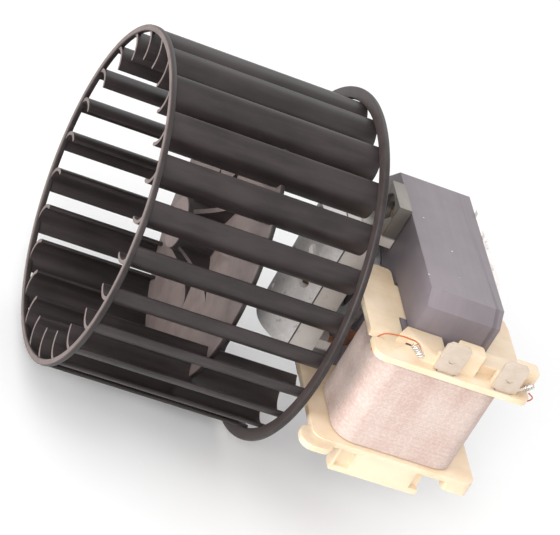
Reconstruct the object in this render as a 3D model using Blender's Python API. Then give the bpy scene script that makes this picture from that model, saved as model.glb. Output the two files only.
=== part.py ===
"""Shaded-pole motor with a barrel fan wheel, as used to cool the housing of an oven.

X is the shaft's axis with the fan wheel on the -X side, -Y points to the coil and +Z to the terminals.
The origin is on the shaft's axis, in the plane of the front bracket's two mounting feet.
"""
import math

import bmesh
import bpy
from mathutils import Vector

MM = 0.001

# Clearances
FIT = 0.3 * MM                   # between neighbours that touch on the real motor
AIR_GAP = 0.4 * MM               # rotor to pole faces
OVERSHOOT = 1.0 * MM             # how far a cutter runs past the face it starts from

# Shaft and laminated core
SHAFT_RADIUS = 3.0 * MM
FOOT_THICK = 2.8 * MM
CORE_LENGTH = 19.2 * MM
CORE_HALF_HEIGHT = 26.0 * MM
CORE_COIL_END = 37.4 * MM        # from the shaft to the legs' end faces
CORE_BACK_END = 19.0 * MM        # from the shaft to the closed side
CORE_COIL_CHAMFER = 3.2 * MM
CORE_BACK_CHAMFER = 7.0 * MM
LEG_THICK = 11.7 * MM
BACK_NOTCH_HALF = 3.0 * MM
BACK_BRIDGE = 1.6 * MM
ROTOR_RADIUS = 12.2 * MM
WINDOW_BRIDGE = 1.5 * MM
BAR_DEPTH = 10.0 * MM
BAR_OVERHANG = 4.2 * MM         # the bar's front face, beyond the legs' ends

# Rotor cage and shading rings
CAGE_RING_THICK = 2.2 * MM
CAGE_RING_WIDTH = 5.0 * MM
CAGE_INSET = 0.5 * MM
CAGE_BARS = 12
CAGE_BAR_RADIUS = 0.9 * MM
SHADING_WIRE = 0.8 * MM
SHADING_DEPTH = 2.5 * MM         # from the bore's wall to the middle of a shading ring's leg
SHADING_START = 22.0             # degrees from +Y to the first leg
SHADING_SHARE = 0.36             # a ring's share of the way from the first leg to the last one
SHADING_ASIDE = 1.55 * MM        # from the foot's side to the last leg

# Fan wheel
FAN_GAP = 15.8 * MM              # from the core's front face to the wheel
FAN_LENGTH = 54.5 * MM
FRONT_RING_RADIUS = 41.7 * MM
FRONT_RING_WALL = 1.6 * MM
FRONT_RING_WIDTH = 1.5 * MM
REAR_RING_STEP = 2.7 * MM        # the rear ring's outer edge, beyond the front ring's
REAR_RING_GRIP = 0.24 * MM       # how far the rear ring reaches in past the blades' outer edges
REAR_RING_WIDTH = 1.5 * MM
REAR_RING_ROUND = 0.5 * MM
BLADES = 24
BLADE_PHASE = 2.6                # degrees
BLADE_THICK = 0.9 * MM
BLADE_CURVE = 4.96 * MM          # radius of a blade's curve
BLADE_INSET = 5.85 * MM          # from the front ring's outer edge in to the curve's centre
BLADE_OFFSET = 4.47 * MM         # the curve's centre, aside of the blade's own radius
BLADE_SWEEP = (-117.0, 9.0)      # degrees
BLADE_STEPS = 9
DISC_FROM_FRONT = 31.0 * MM
DISC_THICK = 1.3 * MM
DISC_LAP = 1.05 * MM             # the disc's edge, beyond the centres of the blades' curves
HUB_RADIUS = 6.5 * MM
HUB_FRONT = 9.5 * MM
HUB_REAR = 4.5 * MM
RIBS = 8
RIB_PHASE = 26.5                 # degrees
RIB_THICK = 1.2 * MM
RIB_REACH = 19.5 * MM
SHAFT_IN_HUB = 8.0 * MM

# Bearing brackets
SCREW_INSET = 4.0 * MM           # from the core's top and bottom to the screws
SCREW_RADIUS = 2.0 * MM
SCREW_HEAD_RADIUS = 2.6 * MM
SCREW_HEAD_THICK = 1.0 * MM
SCREW_SHORT = 1.1 * MM           # the screw's tip stays below the foot's face by this
SOCKET_DEPTH = 0.6 * MM
SOCKET_WIDTH = 0.9 * MM
FOOT_WIDTH = 11.2 * MM
FOOT_CLEAR = 3.0 * MM            # from the rotor's outside to the foot's inner edge
FOOT_MARGIN = 3.4 * MM           # the foot's outer edge, beyond the screw
FOOT_CUT = 2.6 * MM
FOOT_RIM = 0.9 * MM              # the front foot's rim, in front of its face
REAR_FOOT_THICK = 1.2 * MM
REAR_FOOT_RIM = 0.4 * MM         # the rear foot's posts, behind its face
RIDGE_THICK = 1.6 * MM           # the two ridges along an arm
RIM_REACH = 1.4 * MM             # a front foot's rim and a rear foot's posts, beyond the outer edge
ARM_REACH = 6.1 * MM             # from the foot's face to the ridges' far face
FRONT_SHOULDER_DROP = 5.0 * MM   # from the screw in to the front ridges' shoulder
REAR_SHOULDER_DROP = 3.0 * MM
ARM_MARGIN = 0.6 * MM            # the ridges' outer end, beyond the screw
CHANNEL_DROP = 4.2 * MM          # from the screw in to where the channel between the ridges starts
BODY_DROP = 4.5 * MM             # from the screw in to the body's upper and lower end
FRONT_GAP = 3.1 * MM             # foot plane to the nose's inner face
FRONT_REACH = 12.9 * MM          # the nose's inner face to its front-most line
FRONT_HALF_WIDTH = 10.4 * MM
FRONT_ROUND = 11.0 * MM
FRONT_WALL = 3.4 * MM
REAR_GAP = 1.9 * MM              # the rear foot's face to the body
REAR_THICK = 6.1 * MM
REAR_HALF_WIDTH = 9.8 * MM
REAR_CORNER = 2.6 * MM
REAR_NOSE_RADIUS = 10.5 * MM
REAR_NOSE = 4.3 * MM
REAR_NOSE_ROUND = 1.6 * MM
REAR_WALL = 2.0 * MM

# Round holes in the front nose: degrees from -Y towards -X, height, radius and depth
OIL_HOLE = (48.0, 0.0, 1.5 * MM, 3.6 * MM)
UPPER_DIMPLE = (58.0, 8.1 * MM, 1.6 * MM, 1.0 * MM)
LOWER_DIMPLE = (92.0, -8.3 * MM, 0.8 * MM, 0.7 * MM)

# Bearings
BEARING_RADIUS = 5.6 * MM
BEARING_LENGTH = 5.2 * MM
FELT_RADIUS = 7.4 * MM
FELT_LENGTH = 1.5 * MM
RETAINER_THICK = 0.6 * MM
RETAINER_BORE = 4.6 * MM
WASHER_THICK = 0.5 * MM
SLEEVE_WALL = 1.2 * MM

# Coil
COIL_SHIFT = -1.45 * MM          # the coil's middle, from the core's middle
BOBBIN_WALL = 1.2 * MM
FLANGE_THICK = 1.5 * MM
WINDING_BUILD = 4.85 * MM
WINDING_CORNER = 5.5 * MM
FLANGE_LEFT = 2.6 * MM           # each flange, beyond the winding
FLANGE_RIGHT = 5.7 * MM
FLANGE_FORWARD = 1.25 * MM
FLANGE_BACK = 6.6 * MM
FLANGE_CORNER = 2.6 * MM
LOWER_LEFT = 2.4 * MM            # the lower flange, beyond the upper one
FRONT_WING = 6.0 * MM            # the upper flange's wings, beyond it beside the core
FRONT_WING_INSET = 2.6 * MM      # from the flange's left edge
REAR_WING = 0.7 * MM

# Terminals and what holds them
TAB_WIDTH = 6.3 * MM
TAB_THICK = 0.8 * MM
TAB_HEIGHT = 8.0 * MM
TAB_CHAMFER = 1.0 * MM
TAB_PITCH = 15.2 * MM
TAB_SHIFT = 6.8 * MM             # the pair's middle, from the coil's middle
TAB_INSET = 0.9 * MM             # from the flange's edge to the tabs' faces
TAB_ROOT = 4.0 * MM              # width of the root in the flange
LEG_WIDTH = 0.8 * MM             # the side leg that the wire is wrapped on
LEG_DEPTH = 0.6 * MM
LEG_REACH = (7.6 * MM, 3.1 * MM)
LEG_RISE = (2.8 * MM, 3.0 * MM)
BACKREST_DEPTH = 1.8 * MM
BACKREST_HEIGHT = 3.6 * MM
CHEEK_WIDTH = (5.0 * MM, 4.0 * MM)
CHEEK_DEPTH = 4.2 * MM
CHEEK_HEIGHT = 6.0 * MM
CHEEK_LAP = 1.5 * MM             # how far a cheek reaches behind its tab
CHEEK_SET = 0.8 * MM             # from the backrest's face to the cheek's
STEP_DEPTH = 6.2 * MM            # the right-hand step, from the core's leg forward
PLATEAU_HEIGHT = 2.2 * MM
PLATEAU_TIP = 6.1 * MM           # from the flange's left edge to the plateau's tip
PLATEAU_SLANT = 2.7 * MM
PLATEAU_ROUND = 2.4 * MM
PLATEAU_DEPTH = 4.2 * MM         # from the core's leg to the plateau's front edge, left of the tabs
PLATEAU_STOP = 3.1 * MM          # from the plateau's right-hand curve to the first tab
WRAP_BORE = 0.8 * MM
WRAP_RADIUS = 1.15 * MM
WRAP_LENGTH = (4.0 * MM, 2.4 * MM)
LEAD_RADIUS = 0.3 * MM
LEAD_RUN = 3.0 * MM               # down the winding's side
LEAD_NOTCH = 1.0 * MM            # half the width of the notch that lets the lead through

# Clip rail and lug under the coil
CLIP_START = 5.2 * MM            # from the upper flange's left edge
CLIP_LENGTH = 23.0 * MM
CLIP_HEIGHT = 6.4 * MM
CLIP_DEPTH = 4.0 * MM
CLIP_RECESS = 4.6 * MM
CLIP_RECESS_DEPTH = 1.4 * MM
CLIP_NOTCH = 2.6 * MM
LUG_SIDE = 3.2 * MM              # the lug, beyond the lower flange's left edge
LUG_FORWARD = 3.6 * MM
LUG_WIDTH = 8.4 * MM
LUG_LENGTH = 7.4 * MM
END_PAD_LENGTH = 7.0 * MM
END_PAD_HEIGHT = 2.6 * MM

# Facets of a round piece
ROUND = 36
FINE = 2 * ROUND
SMALL = 16

# Derived places along the shaft
CORE_FRONT = FOOT_THICK
CORE_REAR = CORE_FRONT + CORE_LENGTH
CORE_MIDDLE = CORE_FRONT + CORE_LENGTH / 2
FAN_REAR = CORE_FRONT - FAN_GAP
FAN_FRONT = FAN_REAR - FAN_LENGTH
DISC_FRONT = FAN_FRONT + DISC_FROM_FRONT
DISC_REAR = DISC_FRONT + DISC_THICK
BORE_RADIUS = ROTOR_RADIUS + AIR_GAP
SHADING_CIRCLE = BORE_RADIUS + SHADING_DEPTH
WINDOW_HALF = CORE_HALF_HEIGHT - LEG_THICK
SHAFT_BORE = SHAFT_RADIUS + FIT
REAR_BODY = CORE_REAR + REAR_FOOT_THICK + REAR_GAP
REAR_SEAT_END = REAR_BODY + REAR_THICK + REAR_NOSE - REAR_WALL
REAR_SHAFT_END = REAR_SEAT_END - 2 * FIT

# Derived sizes of the fan wheel
BLADE_PITCH_RADIUS = FRONT_RING_RADIUS - BLADE_INSET
BLADE_REACH = math.hypot(BLADE_PITCH_RADIUS, BLADE_OFFSET) + BLADE_CURVE + BLADE_THICK / 2
REAR_RING_RADIUS = FRONT_RING_RADIUS + REAR_RING_STEP
REAR_RING_WALL = REAR_RING_RADIUS - BLADE_REACH + REAR_RING_GRIP
DISC_RADIUS = BLADE_PITCH_RADIUS + DISC_LAP

# Derived heights of the brackets, from the shaft
SCREW_Z = CORE_HALF_HEIGHT - SCREW_INSET
SCREW_HOLE = SCREW_RADIUS + FIT
FOOT_INNER = ROTOR_RADIUS + FOOT_CLEAR
FOOT_OUTER = SCREW_Z + FOOT_MARGIN
ARM_END = SCREW_Z + ARM_MARGIN
CHANNEL_START = SCREW_Z - CHANNEL_DROP
BODY_HALF_HEIGHT = SCREW_Z - BODY_DROP

# Derived places of the coil
COIL_MIDDLE = CORE_MIDDLE + COIL_SHIFT
BAR_FRONT = -CORE_COIL_END - BAR_OVERHANG
BAR_REAR = BAR_FRONT + BAR_DEPTH
TUBE_HALF = CORE_LENGTH / 2 + FIT + BOBBIN_WALL
TUBE_FRONT = BAR_FRONT - FIT - BOBBIN_WALL
TUBE_REAR = BAR_REAR + FIT + BOBBIN_WALL
COIL_HALF = TUBE_HALF + WINDING_BUILD
COIL_FRONT = TUBE_FRONT - WINDING_BUILD
COIL_REAR = TUBE_REAR + WINDING_BUILD
FLANGE_TOP = WINDOW_HALF - FIT
FLANGE_UNDER = FLANGE_TOP - FLANGE_THICK
FLANGE_FRONT = COIL_FRONT - FLANGE_FORWARD
FLANGE_REAR = COIL_REAR + FLANGE_BACK
FLANGE_LOW_X = COIL_MIDDLE - COIL_HALF - FLANGE_LEFT
FLANGE_HIGH_X = COIL_MIDDLE + COIL_HALF + FLANGE_RIGHT
TAB_FACE = FLANGE_FRONT + TAB_INSET
TAB_BACK = TAB_FACE + TAB_THICK + FIT      # the face of what stands behind a tab
TAB_FOOT = FLANGE_TOP + FIT


def clear_scene():
    """Removes what an opened scene already holds."""
    for item in list(bpy.data.objects):
        bpy.data.objects.remove(item, do_unlink=True)


def finish(name, colour, roughness, metallic):
    """A plain finish with a colour, a roughness and a metallic value."""
    made = bpy.data.materials.new(name)
    made.use_nodes = True
    shader = made.node_tree.nodes["Principled BSDF"]
    shader.inputs["Base Color"].default_value = (*colour, 1.0)
    shader.inputs["Roughness"].default_value = roughness
    shader.inputs["Metallic"].default_value = metallic
    return made


def add_piece(name, shape, look=None, smooth=False):
    """Turns a bmesh into a named object of the scene."""
    bmesh.ops.remove_doubles(shape, verts=shape.verts, dist=1e-7)
    bmesh.ops.recalc_face_normals(shape, faces=shape.faces)
    mesh = bpy.data.meshes.new(name)
    shape.to_mesh(mesh)
    shape.free()
    if look:
        mesh.materials.append(look)
    if smooth:
        mesh.shade_smooth()
        mesh.set_sharp_from_angle(angle=math.radians(32))
    made = bpy.data.objects.new(name, mesh)
    bpy.context.scene.collection.objects.link(made)
    return made


def turned(name, profile, look=None, steps=ROUND, closed=True):
    """A turned piece about X from (x, radius) points; a closed profile makes a ring."""
    shape = bmesh.new()
    rows = []
    for x, radius in profile:
        if radius == 0:
            rows.append([shape.verts.new((x, 0, 0))] * steps)
            continue
        angles = [2 * math.pi * k / steps for k in range(steps)]
        rows.append([shape.verts.new((x, radius * math.sin(a), radius * math.cos(a))) for a in angles])
    pairs = list(zip(rows, rows[1:]))
    if closed:
        pairs.append((rows[-1], rows[0]))
    for first, second in pairs:
        for k in range(steps):
            after = (k + 1) % steps
            corners = [first[k], first[after], second[after], second[k]]
            corners = list(dict.fromkeys(corners))
            if len(corners) > 2:
                shape.faces.new(corners)
    return add_piece(name, shape, look, smooth=True)


def pipe(name, start, end, outer, inner, look=None, steps=ROUND):
    """A plain tube along X."""
    return turned(name, [(start, outer), (end, outer), (end, inner), (start, inner)], look, steps)


def extruded(shape, outline, low, high, axis):
    """Adds a prism to a bmesh: the outline lies across the axis, in the order of the other two."""
    def place(a, b, c):
        return {"X": (c, a, b), "Y": (a, c, b), "Z": (a, b, c)}[axis]
    base = shape.faces.new([shape.verts.new(place(a, b, low)) for a, b in outline])
    grown = bmesh.ops.extrude_face_region(shape, geom=[base])
    tops = [item for item in grown["geom"] if isinstance(item, bmesh.types.BMVert)]
    bmesh.ops.translate(shape, verts=tops, vec=Vector(place(0, 0, high - low)))


def prism(name, outline, low, high, axis, look=None):
    """A prism as a piece of its own."""
    shape = bmesh.new()
    extruded(shape, outline, low, high, axis)
    return add_piece(name, shape, look)


def block(name, low, high, look=None):
    """A box between two corners."""
    outline = [(low[0], low[1]), (high[0], low[1]), (high[0], high[1]), (low[0], high[1])]
    return prism(name, outline, low[2], high[2], "Z", look)


def rounded(low, high, radius, steps=5):
    """The outline of a rectangle with round corners."""
    centres = ((high[0] - radius, high[1] - radius, 0), (low[0] + radius, high[1] - radius, 90),
               (low[0] + radius, low[1] + radius, 180), (high[0] - radius, low[1] + radius, 270))
    points = []
    for a, b, start in centres:
        for k in range(steps + 1):
            turn = math.radians(start + 90 * k / steps)
            points.append((a + radius * math.cos(turn), b + radius * math.sin(turn)))
    return points


def circle(a, b, radius, steps=SMALL):
    """The outline of a circle."""
    turns = [2 * math.pi * k / steps for k in range(steps)]
    return [(a + radius * math.cos(t), b + radius * math.sin(t)) for t in turns]


def drills(name, places, radius, low, high, axis, steps=SMALL):
    """Round cutters side by side along one axis."""
    shape = bmesh.new()
    for a, b in places:
        extruded(shape, circle(a, b, radius, steps), low, high, axis)
    return add_piece(name, shape)


def combine(target, others, operation, smooth=False):
    """Unites other solids with the target or cuts them out of it, and removes them."""
    for other in others:
        step = target.modifiers.new(other.name, "BOOLEAN")
        step.solver = "EXACT"
        step.operation = operation
        step.object = other
    bpy.context.view_layer.update()
    graph = bpy.context.evaluated_depsgraph_get()
    mesh = bpy.data.meshes.new_from_object(target.evaluated_get(graph))
    target.modifiers.clear()
    target.data = mesh
    if smooth:
        mesh.shade_smooth()
        mesh.set_sharp_from_angle(angle=math.radians(32))
    for other in others:
        bpy.data.objects.remove(other, do_unlink=True)
    return target


def join_cut(target, united, cut, smooth=False):
    """Unites the first group with the target, then cuts the second group from it."""
    if united:
        combine(target, united, "UNION", smooth)
    if cut:
        combine(target, cut, "DIFFERENCE", smooth)
    return target


def around(radius, aside, degrees):
    """A point across the shaft: the angle runs from +Z towards -Y, aside runs against it."""
    turn = math.radians(degrees)
    y = -radius * math.sin(turn) + aside * math.cos(turn)
    z = radius * math.cos(turn) + aside * math.sin(turn)
    return y, z


def blade_outline(degrees):
    """The section of one blade, a curve that starts along the radius and ends along the rim."""
    start, end = BLADE_SWEEP
    turns = [math.radians(start + (end - start) * k / BLADE_STEPS) for k in range(BLADE_STEPS + 1)]
    outer = BLADE_CURVE + BLADE_THICK / 2
    inner = BLADE_CURVE - BLADE_THICK / 2
    local = [(outer * math.cos(t), outer * math.sin(t)) for t in turns]
    local += [(inner * math.cos(t), inner * math.sin(t)) for t in reversed(turns)]
    return [around(BLADE_PITCH_RADIUS + a, BLADE_OFFSET + b, degrees) for a, b in local]


def make_blades():
    """All blades, as separate solids in one cutter-like object."""
    shape = bmesh.new()
    front = FAN_FRONT + FRONT_RING_WIDTH / 4
    rear = FAN_REAR - REAR_RING_WIDTH / 4
    for k in range(BLADES):
        extruded(shape, blade_outline(BLADE_PHASE + 360 * k / BLADES), front, rear, "X")
    return add_piece("blades", shape)


def make_ribs():
    """The hub's ribs: thin gussets with a hollow upper edge, sunk a little into hub and disc."""
    shape = bmesh.new()
    inner = HUB_RADIUS - 2 * FIT
    steps = 6
    for k in range(RIBS):
        turn = math.radians(RIB_PHASE + 360 * k / RIBS)
        along = Vector((0, -math.sin(turn), math.cos(turn)))
        across = Vector((0, -math.cos(turn), -math.sin(turn))) * RIB_THICK / 2
        edge = []
        for n in range(steps + 1):
            share = n / steps
            radius = inner + (RIB_REACH - inner) * share
            height = (HUB_FRONT - 2 * FIT) * (1 - share) ** 2
            edge.append((DISC_FRONT - height, radius))
        edge += [(DISC_FRONT + DISC_THICK / 2, RIB_REACH), (DISC_FRONT + DISC_THICK / 2, inner)]
        sides = []
        for sign in (1, -1):
            sides.append([shape.verts.new(Vector((x, 0, 0)) + along * r + across * sign) for x, r in edge])
        shape.faces.new(sides[0])
        shape.faces.new(list(reversed(sides[1])))
        for n in range(len(edge)):
            after = (n + 1) % len(edge)
            shape.faces.new([sides[0][n], sides[1][n], sides[1][after], sides[0][after]])
    return add_piece("ribs", shape)


def make_impeller(look):
    """The fan wheel, one moulding: disc, hub, ribs, blades and both rings."""
    disc_profile = [(DISC_FRONT - HUB_FRONT, HUB_RADIUS), (DISC_FRONT, HUB_RADIUS),
                    (DISC_FRONT, DISC_RADIUS), (DISC_REAR, DISC_RADIUS), (DISC_REAR, HUB_RADIUS),
                    (DISC_REAR + HUB_REAR, HUB_RADIUS), (DISC_REAR + HUB_REAR, SHAFT_BORE),
                    (DISC_FRONT - HUB_FRONT, SHAFT_BORE)]
    wheel = turned("impeller", disc_profile, look, FINE)
    front_ring = pipe("front_ring", FAN_FRONT, FAN_FRONT + FRONT_RING_WIDTH, FRONT_RING_RADIUS,
                      FRONT_RING_RADIUS - FRONT_RING_WALL, None, FINE)
    inside = REAR_RING_RADIUS - REAR_RING_WALL
    rear_profile = [(FAN_REAR - REAR_RING_WIDTH + REAR_RING_ROUND, REAR_RING_RADIUS),
                    (FAN_REAR - REAR_RING_ROUND, REAR_RING_RADIUS),
                    (FAN_REAR, REAR_RING_RADIUS - REAR_RING_ROUND), (FAN_REAR, inside),
                    (FAN_REAR - REAR_RING_WIDTH, inside),
                    (FAN_REAR - REAR_RING_WIDTH, REAR_RING_RADIUS - REAR_RING_ROUND)]
    rear_ring = turned("rear_ring", rear_profile, None, FINE)
    return combine(wheel, [make_ribs(), make_blades(), front_ring, rear_ring], "UNION", smooth=True)


def make_shaft(look):
    """The steel shaft with chamfered ends."""
    front = DISC_REAR - SHAFT_IN_HUB - DISC_THICK
    rear = REAR_SHAFT_END
    chamfer = SHAFT_RADIUS / 5
    profile = [(front, 0), (front, SHAFT_RADIUS - chamfer), (front + chamfer, SHAFT_RADIUS),
               (rear - chamfer, SHAFT_RADIUS), (rear, SHAFT_RADIUS - chamfer), (rear, 0)]
    return turned("shaft", profile, look, ROUND, closed=False)


def cage_places():
    """Where the cage's bars lie across the shaft."""
    radius = ROTOR_RADIUS - CAGE_INSET - CAGE_BAR_RADIUS - FIT
    return [around(radius, 0, 360 * k / CAGE_BARS) for k in range(CAGE_BARS)]


def make_rotor_stack(look):
    """The rotor's laminations with a hole for each cage bar."""
    stack = pipe("rotor_stack", CORE_FRONT, CORE_REAR, ROTOR_RADIUS, SHAFT_BORE, look, ROUND)
    holes = drills("cage_holes", cage_places(), CAGE_BAR_RADIUS + FIT, CORE_FRONT - OVERSHOOT,
                   CORE_REAR + OVERSHOOT, "X", 10)
    return combine(stack, [holes], "DIFFERENCE", smooth=True)


def make_rotor_cage(look):
    """The cast cage: two end rings and the bars between them."""
    outer = ROTOR_RADIUS - CAGE_INSET
    inner = outer - CAGE_RING_WIDTH
    front_end = CORE_FRONT - FIT
    rear_end = CORE_REAR + FIT
    cage = pipe("rotor_cage", front_end - CAGE_RING_THICK, front_end, outer, inner, look)
    rear_ring = pipe("cage_rear", rear_end, rear_end + CAGE_RING_THICK, outer, inner)
    bars = drills("cage_bars", cage_places(), CAGE_BAR_RADIUS, front_end - CAGE_RING_THICK / 2,
                  rear_end + CAGE_RING_THICK / 2, "X", 10)
    return combine(cage, [bars, rear_ring], "UNION", smooth=True)


def core_outline():
    """The outline of the C-shaped laminations, from the coil side round the closed side."""
    top = CORE_HALF_HEIGHT
    end = -CORE_COIL_END
    back = CORE_BACK_END
    notch = BORE_RADIUS + BACK_BRIDGE
    upper = [(end, WINDOW_HALF), (end, top - CORE_COIL_CHAMFER), (end + CORE_COIL_CHAMFER, top),
             (back - CORE_BACK_CHAMFER, top), (back, top - CORE_BACK_CHAMFER),
             (back, BACK_NOTCH_HALF + back - notch), (notch, BACK_NOTCH_HALF)]
    lower = [(y, -z) for y, z in reversed(upper)]
    window = -BORE_RADIUS - WINDOW_BRIDGE
    return upper + lower + [(window - LEG_THICK / 3, -WINDOW_HALF), (window, -WINDOW_HALF + LEG_THICK / 3),
                            (window, WINDOW_HALF - LEG_THICK / 3), (window - LEG_THICK / 3, WINDOW_HALF)]


def shading_spans():
    """The angles of each shading ring's two legs: a pair of rings at the top and one opposite."""
    last = math.degrees(math.acos((FOOT_WIDTH / 2 + SHADING_ASIDE) / SHADING_CIRCLE))
    width = (last - SHADING_START) * SHADING_SHARE
    upper = [(SHADING_START, SHADING_START + width), (last - width, last)]
    return upper + [(near + 180, far + 180) for near, far in upper]


def shading_place(degrees):
    """A leg of a shading ring, across the shaft; the angle runs from +Y towards +Z."""
    turn = math.radians(degrees)
    return SHADING_CIRCLE * math.cos(turn), SHADING_CIRCLE * math.sin(turn)


def make_core(look):
    """The stator's laminations: the rotor's bore, the screw holes and the shading slots."""
    core = prism("stator_core", core_outline(), CORE_FRONT, CORE_REAR, "X", look)
    low = CORE_FRONT - OVERSHOOT
    high = CORE_REAR + OVERSHOOT
    bore = drills("bore", [(0, 0)], BORE_RADIUS, low, high, "X", FINE)
    screws = drills("screws", [(0, SCREW_Z), (0, -SCREW_Z)], SCREW_HOLE, low, high, "X")
    legs = [shading_place(angle) for span in shading_spans() for angle in span]
    slots = drills("slots", legs, SHADING_WIRE + FIT, low, high, "X", 10)
    return combine(core, [bore, screws, slots], "DIFFERENCE", smooth=True)


def make_shading_ring(index, span, look):
    """A closed copper ring through two slots of the core."""
    front = CORE_FRONT - FIT - SHADING_WIRE
    rear = CORE_REAR + FIT + SHADING_WIRE
    legs = [shading_place(angle) for angle in span]
    ring = drills(f"shading_ring_{index + 1}", legs, SHADING_WIRE, front, rear, "X", 10)
    ring.data.materials.append(look)
    (y0, z0), (y1, z1) = legs
    middle = ((y0 + y1) / 2, (z0 + z1) / 2)
    length = math.hypot(y1 - y0, z1 - z0)
    tilt = math.atan2(z1 - z0, y1 - y0)
    ends = []
    for name, x in (("near", front), ("far", rear)):
        half = length / 2 + SHADING_WIRE
        size = ((x - SHADING_WIRE, -half, -SHADING_WIRE), (x + SHADING_WIRE, half, SHADING_WIRE))
        bar = block(f"ring_{name}", *size)
        bar.rotation_euler = (tilt, 0, 0)
        bar.location = (0, *middle)
        ends.append(bar)
    return combine(ring, ends, "UNION", smooth=True)


def front_foot_outlines(side):
    """The front foot across the shaft, closed at its end, and its recess; side is 1 at the top, -1 below."""
    half = FOOT_WIDTH / 2
    inside = half - RIDGE_THICK
    outer = FOOT_OUTER + RIM_REACH
    foot = [(-half, FOOT_INNER), (half, FOOT_INNER), (half, outer), (-half, outer)]
    turns = [math.pi * k / SMALL for k in range(SMALL + 1)]
    recess = [(-inside, CHANNEL_START), (inside, CHANNEL_START)]
    recess += [(inside * math.cos(t), SCREW_Z + inside * math.sin(t)) for t in turns]
    return [(y, side * z) for y, z in foot], [(y, side * z) for y, z in recess]


def rear_foot_outlines(side):
    """The rear foot across the shaft with its two corner posts, and the channel between them."""
    half = FOOT_WIDTH / 2
    inside = half - RIDGE_THICK
    post = FOOT_OUTER + RIM_REACH
    foot = [(-half, FOOT_INNER), (half, FOOT_INNER), (half, post), (inside, post), (inside, FOOT_OUTER),
            (-inside, FOOT_OUTER), (-inside, post), (-half, post)]
    end = post + OVERSHOOT
    channel = [(-inside, CHANNEL_START), (inside, CHANNEL_START), (inside, end), (-inside, end)]
    return [(y, side * z) for y, z in foot], [(y, side * z) for y, z in channel]


def arm_outline(foot, shoulder, body_back, way, side):
    """A bracket arm seen from the side, from the body out to the foot, as (x, z) points."""
    foot_back, foot_face, rim_face = foot
    reach = foot_face + way * ARM_REACH
    points = [(reach, 0), (reach, shoulder), (rim_face, ARM_END), (foot_back, ARM_END),
              (foot_back, FOOT_INNER + FIT), (body_back, BODY_HALF_HEIGHT - FOOT_CUT), (body_back, 0)]
    return [(x, side * z) for x, z in points]


def add_feet(bracket, foot, shoulder, body_back, way, outlines):
    """Both arms and feet, the recesses between the arms' ridges, and the screw holes."""
    foot_back, foot_face, rim_face = foot
    past = foot_face + way * ARM_REACH * 2
    low, high = sorted((foot_back, rim_face))
    start, end = sorted((foot_face, past))
    drill_low, drill_high = sorted((foot_back - way * OVERSHOOT, past))
    cutters = [drills("foot_holes", [(0, SCREW_Z), (0, -SCREW_Z)], SCREW_HOLE, drill_low, drill_high, "X")]
    parts = []
    for side in (1, -1):
        outline, recess = outlines(side)
        parts.append(prism(f"foot_{side}", outline, low, high, "X"))
        sunk = (foot_back + way * FIT, foot_face, rim_face)
        arm = arm_outline(sunk, shoulder, body_back + way * FIT, way, side)
        half = FOOT_WIDTH / 2 - FIT
        parts.append(prism(f"arm_{side}", arm, -half, half, "Y"))
        cutters.append(prism(f"recess_{side}", recess, start, end, "X"))
    return join_cut(bracket, parts, cutters, smooth=True)


def bearing_seat(body_back, seat_end, way):
    """The stepped bore that holds a bush, its felt and its retainer, and where its wide part ends."""
    seat_start = seat_end - way * (BEARING_LENGTH + FIT)
    past_back = body_back - way * OVERSHOOT
    narrow = BEARING_RADIUS + FIT
    wide = FELT_RADIUS + FIT
    profile = [(seat_end, 0), (seat_end, narrow), (seat_start, narrow), (seat_start, wide), (past_back, wide),
               (past_back, 0)]
    return turned("seat", profile, None, ROUND, closed=False), seat_start


def nose_hole(name, hole):
    """A round hole square to the front nose's surface."""
    degrees, height, radius, depth = hole
    cutter = drills(name, [(0, 0)], radius, -FRONT_ROUND - OVERSHOOT, -FRONT_ROUND + depth, "Y")
    cutter.rotation_euler = (0, 0, -math.radians(degrees))
    cutter.location = (CORE_FRONT - FOOT_THICK - FRONT_GAP - FRONT_REACH + FRONT_ROUND, 0, height)
    return cutter


def make_front_bracket(look):
    """The die-cast bracket on the fan's side: two feet and a nose with a half-round front."""
    body_back = CORE_FRONT - FOOT_THICK - FRONT_GAP
    nose_end = body_back - FRONT_REACH
    centre = nose_end + FRONT_ROUND
    swing = math.asin(FRONT_HALF_WIDTH / FRONT_ROUND)
    steps = 24
    turns = [swing - 2 * swing * k / steps for k in range(steps + 1)]
    outline = [(centre - FRONT_ROUND * math.cos(t), FRONT_ROUND * math.sin(t)) for t in turns]
    outline = [(body_back, FRONT_HALF_WIDTH), *outline, (body_back, -FRONT_HALF_WIDTH)]
    bracket = prism("front_bracket", outline, -BODY_HALF_HEIGHT, BODY_HALF_HEIGHT, "Z", look)
    foot_face = CORE_FRONT - FOOT_THICK
    foot = (CORE_FRONT - FIT, foot_face, foot_face - FOOT_RIM)
    add_feet(bracket, foot, SCREW_Z - FRONT_SHOULDER_DROP, body_back, -1, front_foot_outlines)
    seat_end = nose_end + FRONT_WALL
    seat, seat_start = bearing_seat(body_back, seat_end, -1)
    shaft_hole = drills("shaft_hole", [(0, 0)], SHAFT_BORE + FIT, nose_end - OVERSHOOT, seat_end + FIT,
                        "X", ROUND)
    holes = [nose_hole("oil_hole", OIL_HOLE), nose_hole("upper_dimple", UPPER_DIMPLE),
             nose_hole("lower_dimple", LOWER_DIMPLE)]
    join_cut(bracket, [], [seat, shaft_hole, *holes], smooth=True)
    return bracket, seat_end, seat_start


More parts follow.
